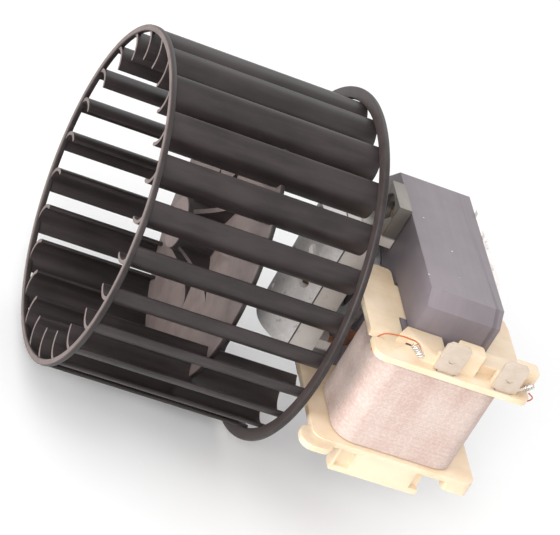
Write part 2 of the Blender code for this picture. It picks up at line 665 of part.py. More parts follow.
def make_rear_bracket(look):
    """The die-cast bracket behind the core: two feet, a flat body and a round closed nose."""
    body_back = REAR_BODY
    body_face = body_back + REAR_THICK
    nose_end = body_face + REAR_NOSE
    corner = (REAR_HALF_WIDTH, BODY_HALF_HEIGHT)
    outline = rounded((-corner[0], -corner[1]), corner, REAR_CORNER, 3)
    bracket = prism("rear_bracket", outline, body_back, body_face, "X", look)
    inside = body_back + REAR_THICK / 2
    edge = []
    for k in range(5):
        turn = math.radians(90 - 22.5 * k)
        edge.append((nose_end - REAR_NOSE_ROUND * (1 - math.cos(turn)),
                     REAR_NOSE_RADIUS - REAR_NOSE_ROUND * (1 - math.sin(turn))))
    profile = [(inside, 0), (inside, REAR_NOSE_RADIUS), *edge, (nose_end, 0)]
    nose = turned("nose", profile, None, ROUND, closed=False)
    combine(bracket, [nose], "UNION", smooth=True)
    foot_face = CORE_REAR + REAR_FOOT_THICK
    foot = (CORE_REAR + FIT, foot_face, foot_face + REAR_FOOT_RIM)
    add_feet(bracket, foot, SCREW_Z - REAR_SHOULDER_DROP, body_back, 1, rear_foot_outlines)
    seat, seat_start = bearing_seat(body_back, REAR_SEAT_END, 1)
    join_cut(bracket, [], [seat], smooth=True)
    return bracket, REAR_SEAT_END, seat_start


def make_bearing(name, seat_end, way, look):
    """A sintered bush with a rounded outside, seated at the end of its bore."""
    far = seat_end - way * FIT
    near = far - way * BEARING_LENGTH
    edge = BEARING_RADIUS / 5
    profile = [(far, SHAFT_BORE), (far, BEARING_RADIUS - edge), (far - way * edge, BEARING_RADIUS),
               (near + way * edge, BEARING_RADIUS), (near, BEARING_RADIUS - edge), (near, SHAFT_BORE)]
    return turned(name, profile, look, ROUND)


def make_bearing_set(label, way, seat_end, seat_start, looks):
    """The oil felt and its pressed retainer, stacked behind the bush."""
    made = [make_bearing(f"{label}_bearing", seat_end, way, looks["bronze"])]
    felt_far = seat_start - way * FIT
    felt_near = felt_far - way * FELT_LENGTH
    low, high = sorted((felt_far, felt_near))
    made.append(pipe(f"{label}_felt", low, high, FELT_RADIUS, RETAINER_BORE, looks["felt"]))
    plate_far = felt_near - way * FIT
    low, high = sorted((plate_far, plate_far - way * RETAINER_THICK))
    made.append(pipe(f"{label}_retainer", low, high, FELT_RADIUS, RETAINER_BORE, looks["steel"]))
    return made


def make_spacer(label, cage_end, bearing_near, way, looks):
    """The sleeve and the thrust washer that keep the rotor clear of a bush."""
    washer_far = bearing_near - way * FIT
    washer_near = washer_far - way * WASHER_THICK
    washer_radius = RETAINER_BORE - FIT
    low, high = sorted((washer_far, washer_near))
    made = [pipe(f"{label}_thrust_washer", low, high, washer_radius, SHAFT_BORE, looks["nylon"])]
    low, high = sorted((washer_near - way * FIT, cage_end))
    sleeve_radius = SHAFT_BORE + SLEEVE_WALL - 2 * FIT
    made.append(pipe(f"{label}_sleeve", low, high, sleeve_radius, SHAFT_BORE, looks["steel"]))
    return made


def make_screw(index, side, look):
    """A machine screw from the rear bracket through the core into the front foot."""
    face = CORE_REAR + REAR_FOOT_THICK + FIT
    head_top = face + SCREW_HEAD_THICK
    edge = SCREW_HEAD_THICK / 4
    profile = [(SCREW_SHORT, 0), (SCREW_SHORT, SCREW_RADIUS), (face, SCREW_RADIUS), (face, SCREW_HEAD_RADIUS),
               (head_top - edge, SCREW_HEAD_RADIUS), (head_top, SCREW_HEAD_RADIUS - 2 * edge), (head_top, 0)]
    screw = turned(f"bracket_screw_{index}", profile, look, SMALL + 8, closed=False)
    reach = SCREW_HEAD_RADIUS * 0.6
    low = head_top - SOCKET_DEPTH
    high = head_top + OVERSHOOT
    half = SOCKET_WIDTH / 2
    slots = [block("slot_y", (low, -reach, -half), (high, reach, half)),
             block("slot_z", (low, -half, -reach), (high, half, reach))]
    screw = combine(screw, slots, "DIFFERENCE", smooth=True)
    screw.location = (0, 0, side * SCREW_Z)
    return screw


def make_core_bar(look):
    """The laminated bar that closes the core through the coil."""
    height = WINDOW_HALF - FIT
    half = CORE_LENGTH / 2
    low = (COIL_MIDDLE - half, BAR_FRONT, -height)
    return block("core_bar", low, (COIL_MIDDLE + half, BAR_REAR, height), look)


def tab_middle(index):
    """Where a terminal's middle lies along the shaft's direction."""
    return COIL_MIDDLE + TAB_SHIFT + (index - 0.5) * TAB_PITCH


def flange_solids():
    """Both flanges, the lower one wider to the left, and the upper one's wings beside the core."""
    low = rounded((FLANGE_LOW_X - LOWER_LEFT, FLANGE_FRONT), (FLANGE_HIGH_X, FLANGE_REAR), FLANGE_CORNER, 4)
    parts = [prism("lower_flange", low, -FLANGE_TOP, -FLANGE_UNDER, "Z")]
    start = FLANGE_REAR - FLANGE_CORNER * 2
    wings = (("front_wing", FLANGE_LOW_X + FRONT_WING_INSET, CORE_FRONT - 2 * FIT, FRONT_WING),
             ("rear_wing", CORE_REAR + 2 * FIT, FLANGE_HIGH_X - FIT, REAR_WING))
    for name, near, far, reach in wings:
        wing = rounded((near, start), (far, FLANGE_REAR + reach), FLANGE_CORNER / 2, 3)
        parts.append(prism(name, wing, FLANGE_UNDER, FLANGE_TOP, "Z"))
    return parts


def plateau_edge():
    """The plateau's front edge, from its left tip along the lead and round to the first tab."""
    tip_x = FLANGE_LOW_X + PLATEAU_TIP
    edge_y = -CORE_COIL_END - PLATEAU_DEPTH
    end_x = tab_middle(0) - TAB_WIDTH / 2 - PLATEAU_STOP
    points = [(tip_x, edge_y)]
    for k in range(7):
        turn = math.radians(90 * k / 6)
        points.append((end_x - PLATEAU_ROUND * (1 - math.sin(turn)),
                       edge_y - PLATEAU_ROUND * (1 - math.cos(turn))))
    return [*points, (end_x, TAB_BACK + BACKREST_DEPTH / 2)]


def plateau_outline():
    """The raised step between the lead and the core's leg."""
    back = -CORE_COIL_END - FIT
    edge = plateau_edge()
    front = edge[-1][1]
    return [(edge[0][0] + PLATEAU_SLANT, back), *edge, (tab_middle(0), front), (tab_middle(0), back)]


def terminal_seats():
    """The steps beside the tabs, and for each tab a backrest with a cheek at its right."""
    sunk = FLANGE_TOP - FLANGE_THICK / 2
    step_top = FLANGE_TOP + PLATEAU_HEIGHT
    step_left = tab_middle(0) + TAB_WIDTH / 2 + CHEEK_WIDTH[0] - CHEEK_LAP
    right_step = rounded((step_left, -CORE_COIL_END - STEP_DEPTH), (FLANGE_HIGH_X - FIT, -CORE_COIL_END - FIT),
                         CHEEK_LAP, 3)
    parts = [prism("plateau", plateau_outline(), sunk, step_top, "Z"),
             prism("right_step", right_step, sunk, step_top, "Z")]
    for index in (0, 1):
        right = tab_middle(index) + TAB_WIDTH / 2
        left = tab_middle(index) - TAB_WIDTH / 2 + FIT
        parts.append(block(f"backrest_{index}", (left, TAB_BACK, sunk),
                           (right, TAB_BACK + BACKREST_DEPTH, FLANGE_TOP + BACKREST_HEIGHT)))
        front = TAB_BACK + CHEEK_SET
        cheek = rounded((right - CHEEK_LAP, front), (right + CHEEK_WIDTH[index], front + CHEEK_DEPTH),
                        CHEEK_LAP / 2, 3)
        low = sunk if index == 0 else step_top - FIT
        parts.append(prism(f"cheek_{index}", cheek, low, FLANGE_TOP + CHEEK_HEIGHT, "Z"))
    return parts


def underside_solids():
    """The clip rail under the lower flange, the lug at its left corner and the pad at its right end."""
    sunk = -FLANGE_TOP + FLANGE_THICK / 2
    left = FLANGE_LOW_X + CLIP_START
    right = left + CLIP_LENGTH
    parts = [block("clip", (left, FLANGE_FRONT + FIT, -FLANGE_TOP - CLIP_HEIGHT),
                   (right, FLANGE_FRONT + CLIP_DEPTH, sunk))]
    edge = FLANGE_LOW_X - LOWER_LEFT
    lug = rounded((edge - LUG_SIDE, FLANGE_FRONT - LUG_FORWARD),
                  (edge - LUG_SIDE + LUG_WIDTH, FLANGE_FRONT - LUG_FORWARD + LUG_LENGTH), LUG_WIDTH / 3, 4)
    parts.append(prism("lug", lug, -FLANGE_TOP - FIT, -FLANGE_UNDER - FIT, "Z"))
    pad = rounded((FLANGE_HIGH_X - END_PAD_LENGTH, FLANGE_FRONT + FIT),
                  (FLANGE_HIGH_X - FIT, FLANGE_FRONT + CLIP_DEPTH), FLANGE_CORNER / 2, 3)
    parts.append(prism("end_pad", pad, -FLANGE_TOP - END_PAD_HEIGHT, sunk, "Z"))
    return parts


def clip_cutters():
    """The recess at the rail's left end and the notch at its right end."""
    left = FLANGE_LOW_X + CLIP_START
    right = left + CLIP_LENGTH
    low = -FLANGE_TOP - CLIP_HEIGHT
    recess = block("clip_recess", (left + FIT * 2, FLANGE_FRONT - OVERSHOOT, low + FLANGE_THICK),
                   (left + CLIP_RECESS, FLANGE_FRONT + CLIP_RECESS_DEPTH, -FLANGE_TOP))
    notch = block("clip_notch", (right - CLIP_NOTCH, FLANGE_FRONT - OVERSHOOT, low + FLANGE_THICK),
                  (right + OVERSHOOT, FLANGE_FRONT + CLIP_DEPTH / 2, -FLANGE_TOP))
    return [recess, notch]


def make_bobbin(look):
    """The coil former, one moulding: tube, two flanges, terminal seats, lug and clip rail."""
    outline = rounded((FLANGE_LOW_X, FLANGE_FRONT), (FLANGE_HIGH_X, FLANGE_REAR), FLANGE_CORNER, 4)
    bobbin = prism("bobbin", outline, FLANGE_UNDER, FLANGE_TOP, "Z", look)
    middle_of_flange = FLANGE_UNDER + FLANGE_THICK / 2
    tube = block("tube", (COIL_MIDDLE - TUBE_HALF, TUBE_FRONT, -middle_of_flange),
                 (COIL_MIDDLE + TUBE_HALF, TUBE_REAR, middle_of_flange))
    parts = [tube, *flange_solids(), *terminal_seats(), *underside_solids()]
    space = CORE_LENGTH / 2 + FIT
    core = block("core_space", (COIL_MIDDLE - space, BAR_FRONT - FIT, -FLANGE_TOP - CLIP_HEIGHT - OVERSHOOT),
                 (COIL_MIDDLE + space, BAR_REAR + FIT, WINDOW_HALF))
    notch_y = lead_start()[1]
    notch = block("lead_notch", (FLANGE_LOW_X - OVERSHOOT, notch_y - LEAD_NOTCH, FLANGE_UNDER - OVERSHOOT),
                  (FLANGE_LOW_X + FLANGE_LEFT + LEAD_NOTCH, notch_y + LEAD_NOTCH, FLANGE_TOP + OVERSHOOT))
    slots = []
    for index in (0, 1):
        half = TAB_ROOT / 2 + FIT
        low = (tab_middle(index) - half, TAB_FACE - FIT, FLANGE_UNDER - OVERSHOOT)
        slots.append(block(f"tab_slot_{index}", low, (tab_middle(index) + half, TAB_BACK, FLANGE_TOP + FIT)))
    return join_cut(bobbin, parts, [core, notch, *slots, *clip_cutters()])


def make_winding(look):
    """The copper winding as one closed ring round the former's tube."""
    outer = rounded((COIL_MIDDLE - COIL_HALF, COIL_FRONT), (COIL_MIDDLE + COIL_HALF, COIL_REAR),
                    WINDING_CORNER, 6)
    half = FLANGE_UNDER - FIT
    coil = prism("winding", outer, -half, half, "Z", look)
    inside = block("winding_space", (COIL_MIDDLE - TUBE_HALF - FIT, TUBE_FRONT - FIT, -half - OVERSHOOT),
                   (COIL_MIDDLE + TUBE_HALF + FIT, TUBE_REAR + FIT, half + OVERSHOOT))
    return combine(coil, [inside], "DIFFERENCE", smooth=True)


def leg_ends(index):
    """The side leg's inner and outer end: the first tab's leg points left, the second one's right."""
    way = -1 if index == 0 else 1
    edge = tab_middle(index) + way * TAB_WIDTH / 2
    y = TAB_FACE + TAB_THICK / 2
    low = TAB_FOOT + LEG_WIDTH / 2 + FIT
    inner = Vector((edge - way * LEG_WIDTH, y, low))
    outer = Vector((edge + way * LEG_REACH[index], y, low + LEG_RISE[index]))
    return inner, outer


def make_terminal(index, look):
    """A flat push-on tab with cut corners, a root in the flange and a side leg at its foot."""
    middle = tab_middle(index)
    half = TAB_WIDTH / 2
    root = TAB_ROOT / 2
    tip = TAB_FOOT + TAB_HEIGHT
    right = [(root, FLANGE_UNDER + FIT), (root, TAB_FOOT), (half, TAB_FOOT), (half, tip - TAB_CHAMFER),
             (half - TAB_CHAMFER, tip)]
    outline = [(middle + x, z) for x, z in right] + [(middle - x, z) for x, z in reversed(right)]
    tab = prism(f"terminal_{index + 1}", outline, TAB_FACE, TAB_FACE + TAB_THICK, "Y", look)
    inner, outer = leg_ends(index)
    length = (outer - inner).length
    leg = block("leg", (0, -LEG_DEPTH / 2, -LEG_WIDTH / 2), (length, LEG_DEPTH / 2, LEG_WIDTH / 2))
    leg.rotation_euler = (outer - inner).to_track_quat("X", "Z").to_euler()
    leg.location = inner
    return combine(tab, [leg], "UNION")


def wrap_place(index):
    """The middle of the wire wrapped on a leg."""
    inner, outer = leg_ends(index)
    return outer + (inner - outer).normalized() * (WRAP_LENGTH[index] / 2 + FIT)


def make_wrap(index, look):
    """The turns of bare wire on a terminal's leg, with their solder, as one sleeve."""
    half = WRAP_LENGTH[index] / 2
    edge = (WRAP_RADIUS - WRAP_BORE) / 2
    profile = [(-half, WRAP_BORE), (-half, WRAP_RADIUS - edge), (edge - half, WRAP_RADIUS),
               (half - edge, WRAP_RADIUS), (half, WRAP_RADIUS - edge), (half, WRAP_BORE)]
    wrap = turned(f"wire_wrap_{index + 1}", profile, look, SMALL)
    inner, outer = leg_ends(index)
    wrap.rotation_euler = (outer - inner).to_track_quat("X", "Z").to_euler()
    wrap.location = wrap_place(index)
    return wrap


def make_lead(name, points, look):
    """A length of enamelled wire along a smooth curve through its points."""
    curve = bpy.data.curves.new(name, "CURVE")
    curve.dimensions = "3D"
    curve.bevel_depth = LEAD_RADIUS
    curve.bevel_resolution = 2
    curve.use_fill_caps = True
    spline = curve.splines.new("BEZIER")
    spline.bezier_points.add(len(points) - 1)
    spline.resolution_u = 5
    for knot, point in zip(spline.bezier_points, points):
        knot.co = point
        knot.handle_left_type = "AUTO"
        knot.handle_right_type = "AUTO"
    holder = bpy.data.objects.new(name, curve)
    bpy.context.scene.collection.objects.link(holder)
    bpy.context.view_layer.update()
    mesh = bpy.data.meshes.new_from_object(holder.evaluated_get(bpy.context.evaluated_depsgraph_get()))
    bpy.data.objects.remove(holder, do_unlink=True)
    shape = bmesh.new()
    shape.from_mesh(mesh)
    return add_piece(name, shape, look, smooth=True)


def lead_start():
    """Where the first lead leaves the winding's left side."""
    x = COIL_MIDDLE - COIL_HALF - LEAD_RADIUS - FIT
    return Vector((x, -CORE_COIL_END - PLATEAU_DEPTH, FLANGE_UNDER - LEAD_RUN))


def start_lead_points():
    """From the winding's left side up through the notch and along the plateau's edge to the first wrap."""
    start = lead_start()
    level = FLANGE_TOP + PLATEAU_HEIGHT - LEAD_RADIUS
    aside = LEAD_RADIUS + FIT
    edge = plateau_edge()
    along = [Vector((x - aside * share, y - aside * (1 - share), level))
             for (x, y), share in ((edge[0], 0), (edge[1], 0), (edge[4], 0.7), (edge[7], 1))]
    wrap = wrap_place(0)
    end = Vector((edge[-1][0] - aside, wrap.y + WRAP_RADIUS + LEAD_RADIUS + FIT, level))
    return [start, Vector((start.x, start.y, FLANGE_TOP)), *along, end]


def finish_lead_points():
    """From under the second wrap down past the flange's edge to the winding's right side."""
    inner, outer = leg_ends(1)
    along = (outer - inner).normalized()
    below = Vector((along.z, 0, -along.x))
    start = wrap_place(1) + below * (WRAP_RADIUS + LEAD_RADIUS + FIT)
    out = Vector((FLANGE_HIGH_X + 3 * LEAD_RADIUS, start.y + TAB_INSET, FLANGE_TOP))
    under = Vector((FLANGE_HIGH_X, start.y + 3 * TAB_INSET, FLANGE_UNDER - 4 * LEAD_RADIUS))
    end = Vector((COIL_MIDDLE + COIL_HALF + LEAD_RADIUS + FIT, BAR_FRONT, FLANGE_UNDER - LEAD_RUN))
    return [start, out, under, end]


def build():
    """Builds every piece in the frame of the front bracket's feet."""
    clear_scene()
    looks = {
        "plastic": finish("dark_plastic", (0.045, 0.036, 0.036), 0.45, 0.0),
        "cream": finish("cream_nylon", (0.90, 0.74, 0.48), 0.45, 0.0),
        "zinc": finish("cast_zinc", (0.55, 0.53, 0.50), 0.38, 0.9),
        "lamination": finish("core_steel", (0.34, 0.32, 0.33), 0.5, 0.6),
        "steel": finish("bright_steel", (0.62, 0.60, 0.57), 0.3, 1.0),
        "yellow": finish("zinc_screw", (0.62, 0.50, 0.28), 0.35, 1.0),
        "aluminium": finish("cast_aluminium", (0.72, 0.72, 0.72), 0.4, 0.9),
        "copper": finish("shading_copper", (0.80, 0.42, 0.26), 0.3, 1.0),
        "wire": finish("winding_wire", (0.85, 0.70, 0.62), 0.35, 0.2),
        "enamel": finish("enamelled_wire", (0.72, 0.30, 0.12), 0.3, 0.4),
        "tin": finish("tinned_brass", (0.78, 0.73, 0.69), 0.4, 0.6),
        "bronze": finish("sintered_bronze", (0.55, 0.38, 0.20), 0.55, 0.8),
        "felt": finish("oil_felt", (0.62, 0.56, 0.45), 0.95, 0.0),
        "nylon": finish("white_nylon", (0.85, 0.84, 0.80), 0.5, 0.0),
    }
    rotor_axis = bpy.data.objects.new("rotor_axis", None)
    bpy.context.scene.collection.objects.link(rotor_axis)
    make_core(looks["lamination"])
    make_core_bar(looks["lamination"])
    for index, span in enumerate(shading_spans()):
        make_shading_ring(index, span, looks["copper"])
    front = make_front_bracket(looks["zinc"])
    rear = make_rear_bracket(looks["zinc"])
    make_bearing_set("front", -1, front[1], front[2], looks)
    make_bearing_set("rear", 1, rear[1], rear[2], looks)
    for index, side in ((1, 1), (2, -1)):
        make_screw(index, side, looks["yellow"])
    make_bobbin(looks["cream"])
    make_winding(looks["wire"])
    for index in (0, 1):
        make_terminal(index, looks["tin"])
        make_wrap(index, looks["tin"])
    make_lead("start_lead", start_lead_points(), looks["enamel"])
    make_lead("finish_lead", finish_lead_points(), looks["enamel"])
    turning = [make_impeller(looks["plastic"]), make_shaft(looks["steel"]),
               make_rotor_stack(looks["lamination"]), make_rotor_cage(looks["aluminium"])]
    cage_reach = 2 * FIT + CAGE_RING_THICK
    bush_reach = BEARING_LENGTH + FIT
    turning += make_spacer("front", CORE_FRONT - cage_reach, front[1] + bush_reach, -1, looks)
    turning += make_spacer("rear", CORE_REAR + cage_reach, rear[1] - bush_reach, 1, looks)
    for piece in turning:
        piece.parent = rotor_axis


build()
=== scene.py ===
"""Looks of an oven's cooling fan motor: a barrel fan wheel on the shaft of a shaded-pole motor.

X runs along the shaft, away from the wheel. The coil lies towards -Y and its terminals point to +Z.
"""
import logging
import math
from dataclasses import dataclass, field
from enum import Enum
from typing import Any, Callable

import bmesh
import bpy
from mathutils import Matrix, Vector


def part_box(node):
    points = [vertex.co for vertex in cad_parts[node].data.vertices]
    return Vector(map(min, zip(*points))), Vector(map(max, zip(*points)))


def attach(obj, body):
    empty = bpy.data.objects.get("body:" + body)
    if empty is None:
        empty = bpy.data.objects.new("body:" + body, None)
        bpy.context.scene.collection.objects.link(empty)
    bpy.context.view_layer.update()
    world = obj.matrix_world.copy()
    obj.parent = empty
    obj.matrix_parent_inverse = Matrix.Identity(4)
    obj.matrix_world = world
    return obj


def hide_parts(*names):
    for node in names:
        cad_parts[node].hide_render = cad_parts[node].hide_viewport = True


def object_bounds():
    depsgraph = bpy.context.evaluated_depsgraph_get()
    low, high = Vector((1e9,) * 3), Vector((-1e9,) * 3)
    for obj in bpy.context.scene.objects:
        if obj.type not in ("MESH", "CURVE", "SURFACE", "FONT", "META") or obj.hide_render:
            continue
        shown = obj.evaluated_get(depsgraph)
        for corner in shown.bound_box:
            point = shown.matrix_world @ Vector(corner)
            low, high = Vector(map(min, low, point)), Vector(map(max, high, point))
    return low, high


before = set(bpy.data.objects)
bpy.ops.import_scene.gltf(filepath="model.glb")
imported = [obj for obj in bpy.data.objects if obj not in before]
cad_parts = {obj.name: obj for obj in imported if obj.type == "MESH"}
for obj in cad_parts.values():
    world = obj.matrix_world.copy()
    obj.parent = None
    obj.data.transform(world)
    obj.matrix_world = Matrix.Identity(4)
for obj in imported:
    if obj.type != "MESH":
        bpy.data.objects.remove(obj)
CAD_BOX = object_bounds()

MM = 0.001
SEED = 11
# Edges sharper than these stay sharp on a piece, on a tab and on a wire
SHARP = math.radians(32)
TAB_SHARP = math.radians(20)
WIRE_SHARP = math.radians(80)
# Edges sharper than this are rounded, and faces flatter than this are one face
EDGE_ANGLE = math.radians(28)
FLAT_ANGLE = math.radians(0.6)
# Points closer than these are one, in a made mesh and in a copied solid
MADE_GAP = 1e-7
COPY_GAP = 2e-6
# How much of an edge the rounding of a corner may take
CORNER_SHARE = 0.45

log = logging.getLogger("oven_fan_motor")

Point = tuple[float, float]
Span = tuple[float, float]
Colour = tuple[float, float, float]
Mesh = bpy.types.Mesh
Material = bpy.types.Material


class Body(Enum):
    """The two bodies of the motor."""

    MOTOR = "motor"
    ROTOR = "rotor"


# Node graphs


class Val:
    """A socket that takes part in Python expressions."""

    def __init__(self, graph: "Graph", socket: bpy.types.NodeSocket) -> None:
        """Keeps the socket and the graph that new Math nodes go into."""
        self.graph = graph
        self.socket = socket

    def _math(self, operation: str, first: Any, second: Any) -> "Val":
        """One Math node on two values."""
        return self.graph.make("ShaderNodeMath", {"operation": operation}, {0: first, 1: second})

    def __add__(self, other: Any) -> "Val":
        """Sum."""
        return self._math("ADD", self, other)

    def __radd__(self, other: Any) -> "Val":
        """Reflected sum."""
        return self._math("ADD", other, self)

    def __sub__(self, other: Any) -> "Val":
        """Difference."""
        return self._math("SUBTRACT", self, other)

    def __rsub__(self, other: Any) -> "Val":
        """Reflected difference."""
        return self._math("SUBTRACT", other, self)

    def __mul__(self, other: Any) -> "Val":
        """Product."""
        return self._math("MULTIPLY", self, other)

    def __rmul__(self, other: Any) -> "Val":
        """Reflected product."""
        return self._math("MULTIPLY", other, self)

    def step(self, low: float, high: float) -> "Val":
        """A smooth step from 0 at low to 1 at high."""
        sockets = {"Value": self, "From Min": low, "From Max": high}
        return self.graph.make("ShaderNodeMapRange", {"interpolation_type": "SMOOTHSTEP"}, sockets)


class Graph:
    """A node tree that is built by naming node types, settings and inputs."""

    def __init__(self, tree: bpy.types.NodeTree) -> None:
        """Wraps an empty node tree."""
        self.tree = tree

    @staticmethod
    def _find(sockets: Any, key: int | str) -> bpy.types.NodeSocket:
        """Finds a socket.

        Args:
            sockets: A node's inputs or outputs.
            key: The socket's place, identifier or name.

        Returns:
            The socket.
        """
        if isinstance(key, int):
            return sockets[key]
        for socket in sockets:
            if socket.identifier == key:
                return socket
        return next(socket for socket in sockets if socket.name == key and socket.enabled)

    def make(self, kind: str, settings: dict[str, Any] | None = None,
             inputs: dict[int | str, Any] | None = None, output: int | str = 0) -> Val:
        """Adds one node.

        Args:
            kind: The node's type.
            settings: Properties, which are set first.
            inputs: Values or links by socket place, identifier or name.
            output: Which output is returned.

        Returns:
            The chosen output, or the first input of a node that has no outputs.
        """
        node = self.tree.nodes.new(kind)
        for name, value in (settings or {}).items():
            setattr(node, name, value)
        for key, value in (inputs or {}).items():
            self.feed(self._find(node.inputs, key), value)
        if not node.outputs:
            return Val(self, node.inputs[0])
        return Val(self, self._find(node.outputs, output))

    def feed(self, socket: bpy.types.NodeSocket, value: Any) -> None:
        """Links a value to a socket, or sets the socket where the value is plain.

        Args:
            socket: The input that is fed.
            value: A value of the graph, or a plain value.
        """
        if isinstance(value, Val):
            self.tree.links.new(value.socket, socket)
        elif socket.type == "RGBA" and len(value) == 3:
            socket.default_value = (*value, 1.0)
        else:
            socket.default_value = value


def blend(share: float, first: Val, second: Val) -> Val:
    """Two values in one, the first with the given share."""
    return first * share + second * (1 - share)


def dimmed(colour: Colour, share: float) -> Colour:
    """A darker form of a colour."""
    return tuple(share * part for part in colour)


@dataclass(frozen=True)
class Grain:
    """A noise pattern: repeats per metre, detail, roughness and stretch along the axes."""

    scale: float
    detail: float = 3.0
    rough: float = 0.55
    stretch: tuple[float, float, float] = (1.0, 1.0, 1.0)


class Shade(Graph):
    """A material's graph with the patterns that the finishes share."""

    def __init__(self, name: str) -> None:
        """Starts an empty material."""
        self.material = bpy.data.materials.new(name)
        self.material.use_nodes = True
        super().__init__(self.material.node_tree)
        self.tree.nodes.clear()
        self.place = self.make("ShaderNodeTexCoord", output="Object")

    def noise(self, grain: Grain) -> Val:
        """A noise pattern between 0 and 1, on object coordinates.

        Args:
            grain: The pattern.

        Returns:
            Its value.
        """
        where = self.place
        if grain.stretch != (1.0, 1.0, 1.0):
            where = self.make("ShaderNodeMapping", {}, {"Vector": where, "Scale": grain.stretch})
        sockets = {"Vector": where, "Scale": grain.scale, "Detail": grain.detail, "Roughness": grain.rough}
        return self.make("ShaderNodeTexNoise", {}, sockets)

    def part(self, axis: str, where: Val | None = None) -> Val:
        """One coordinate of a vector."""
        return self.make("ShaderNodeSeparateXYZ", {}, {"Vector": where or self.place}, axis)

    def normal(self, axis: str) -> Val:
        """One coordinate of the surface's direction on the part itself."""
        return self.part(axis, self.make("ShaderNodeTexCoord", output="Normal"))

    def mix(self, share: Val | float, first: Any, second: Any) -> Val:
        """A blend of two colours."""
        sockets = {"Factor_Float": share, "A_Color": first, "B_Color": second}
        return self.make("ShaderNodeMix", {"data_type": "RGBA"}, sockets, "Result_Color")

    def bump(self, height: Val, depth: float) -> Val:
        """A bump from a height between 0 and 1, its full depth in metres."""
        return self.make("ShaderNodeBump", {}, {"Height": height, "Distance": depth, "Strength": 1.0})

    def finish(self, **sockets: Any) -> Material:
        """Ends the graph in a Principled shader.

        Args:
            sockets: The shader's inputs by name, with _ for a blank.

        Returns:
            The finished material.
        """
        named = {key.replace("_", " "): value for key, value in sockets.items()}
        shader = self.make("ShaderNodeBsdfPrincipled", {}, named)
        self.make("ShaderNodeOutputMaterial", {}, {"Surface": shader})
        return self.material


# Finishes


@dataclass(frozen=True)
class WheelPlastic:
    """Satin anthracite-brown moulding, with painted light in patches on the faces that meet the incoming
    air.
    """

    slot: str = "wheel_plastic"
    dark: Colour = (0.017, 0.0125, 0.0125)
    light: Colour = (0.034, 0.0255, 0.0255)
    mottle: Span = (0.36, 0.66)
    # Painted light: a pale colour on the faces turned to -X, in patches, where the light from the left
    # falls
    painted_light: Colour = (0.180, 0.140, 0.130)
    painted_light_base: float = 0.62
    painted_light_patches: float = 0.35
    painted_light_facing: Span = (0.55, 0.95)
    # The rear ring keeps most of its own colour under the painted light
    ring: Span = (-14.9 * MM, -14.6 * MM)
    ring_clear: float = 0.8
    rough: float = 0.36
    depth: float = 0.06 * MM
    streak: Grain = Grain(420.0, 4.0, 0.6, (0.12, 1.0, 1.0))
    cloud: Grain = Grain(70.0)
    patch: Grain = Grain(160.0, 5.0, 0.65)
    fine: Grain = Grain(2600.0, 2.0)

    def build(self) -> Material:
        """Returns the material."""
        shade = Shade(self.slot)
        streak = shade.noise(self.streak)
        mottle = blend(0.55, streak, shade.noise(self.cloud))
        base = shade.mix(mottle.step(*self.mottle), self.dark, self.light)
        patchy = shade.noise(self.patch).step(0.22, 0.62)
        ring = shade.part("X").step(*self.ring)
        # Painted light on the faces turned to -X, in patches, less on the rear ring
        facing = (0 - shade.normal("X")).step(*self.painted_light_facing) * (1 - ring * self.ring_clear)
        colour = shade.mix(facing * (patchy * self.painted_light_patches + self.painted_light_base), base, self.painted_light)
        grain = blend(0.35, shade.noise(self.fine), streak)
        return shade.finish(Base_Color=colour, Roughness=self.rough + streak * 0.16 + facing * 0.14,
                            Specular_IOR_Level=0.36, Normal=shade.bump(grain, self.depth))


@dataclass(frozen=True)
class CreamNylon:
    """Cream moulded nylon that glows a little in its slots."""

    slot: str = "cream_nylon"
    pale: Colour = (0.80, 0.65, 0.48)
    deep: Colour = (0.72, 0.55, 0.36)
    mottle: Span = (0.38, 0.66)
    scorch: Colour = (0.55, 0.36, 0.16)
    scorch_share: float = 0.16
    scorch_reach: Span = (0.70, 0.76)
    rough: float = 0.36
    depth: float = 0.05 * MM
    glow: float = 0.22
    glow_colour: Colour = (1.0, 0.42, 0.16)
    glow_depth: float = 1.6 * MM
    cloud: Grain = Grain(95.0, 4.0, 0.6)
    flow: Grain = Grain(260.0, 3.0, 0.6, (0.35, 1.0, 1.0))
    speck: Grain = Grain(900.0, 2.0)
    fine: Grain = Grain(1900.0, 2.0)

    def build(self) -> Material:
        """Returns the material."""
        shade = Shade(self.slot)
        cloud = shade.noise(self.cloud)
        flow = shade.noise(self.flow)
        colour = shade.mix(blend(0.7, cloud, flow).step(*self.mottle), self.pale, self.deep)
        speck = shade.noise(self.speck).step(*self.scorch_reach)
        colour = shade.mix(speck * self.scorch_share, colour, self.scorch)
        skin = blend(0.6, cloud, shade.noise(self.fine))
        return shade.finish(Base_Color=colour, Roughness=self.rough + flow * 0.14,
                            Normal=shade.bump(skin, self.depth), Subsurface_Weight=self.glow,
                            Subsurface_Radius=self.glow_colour, Subsurface_Scale=self.glow_depth)


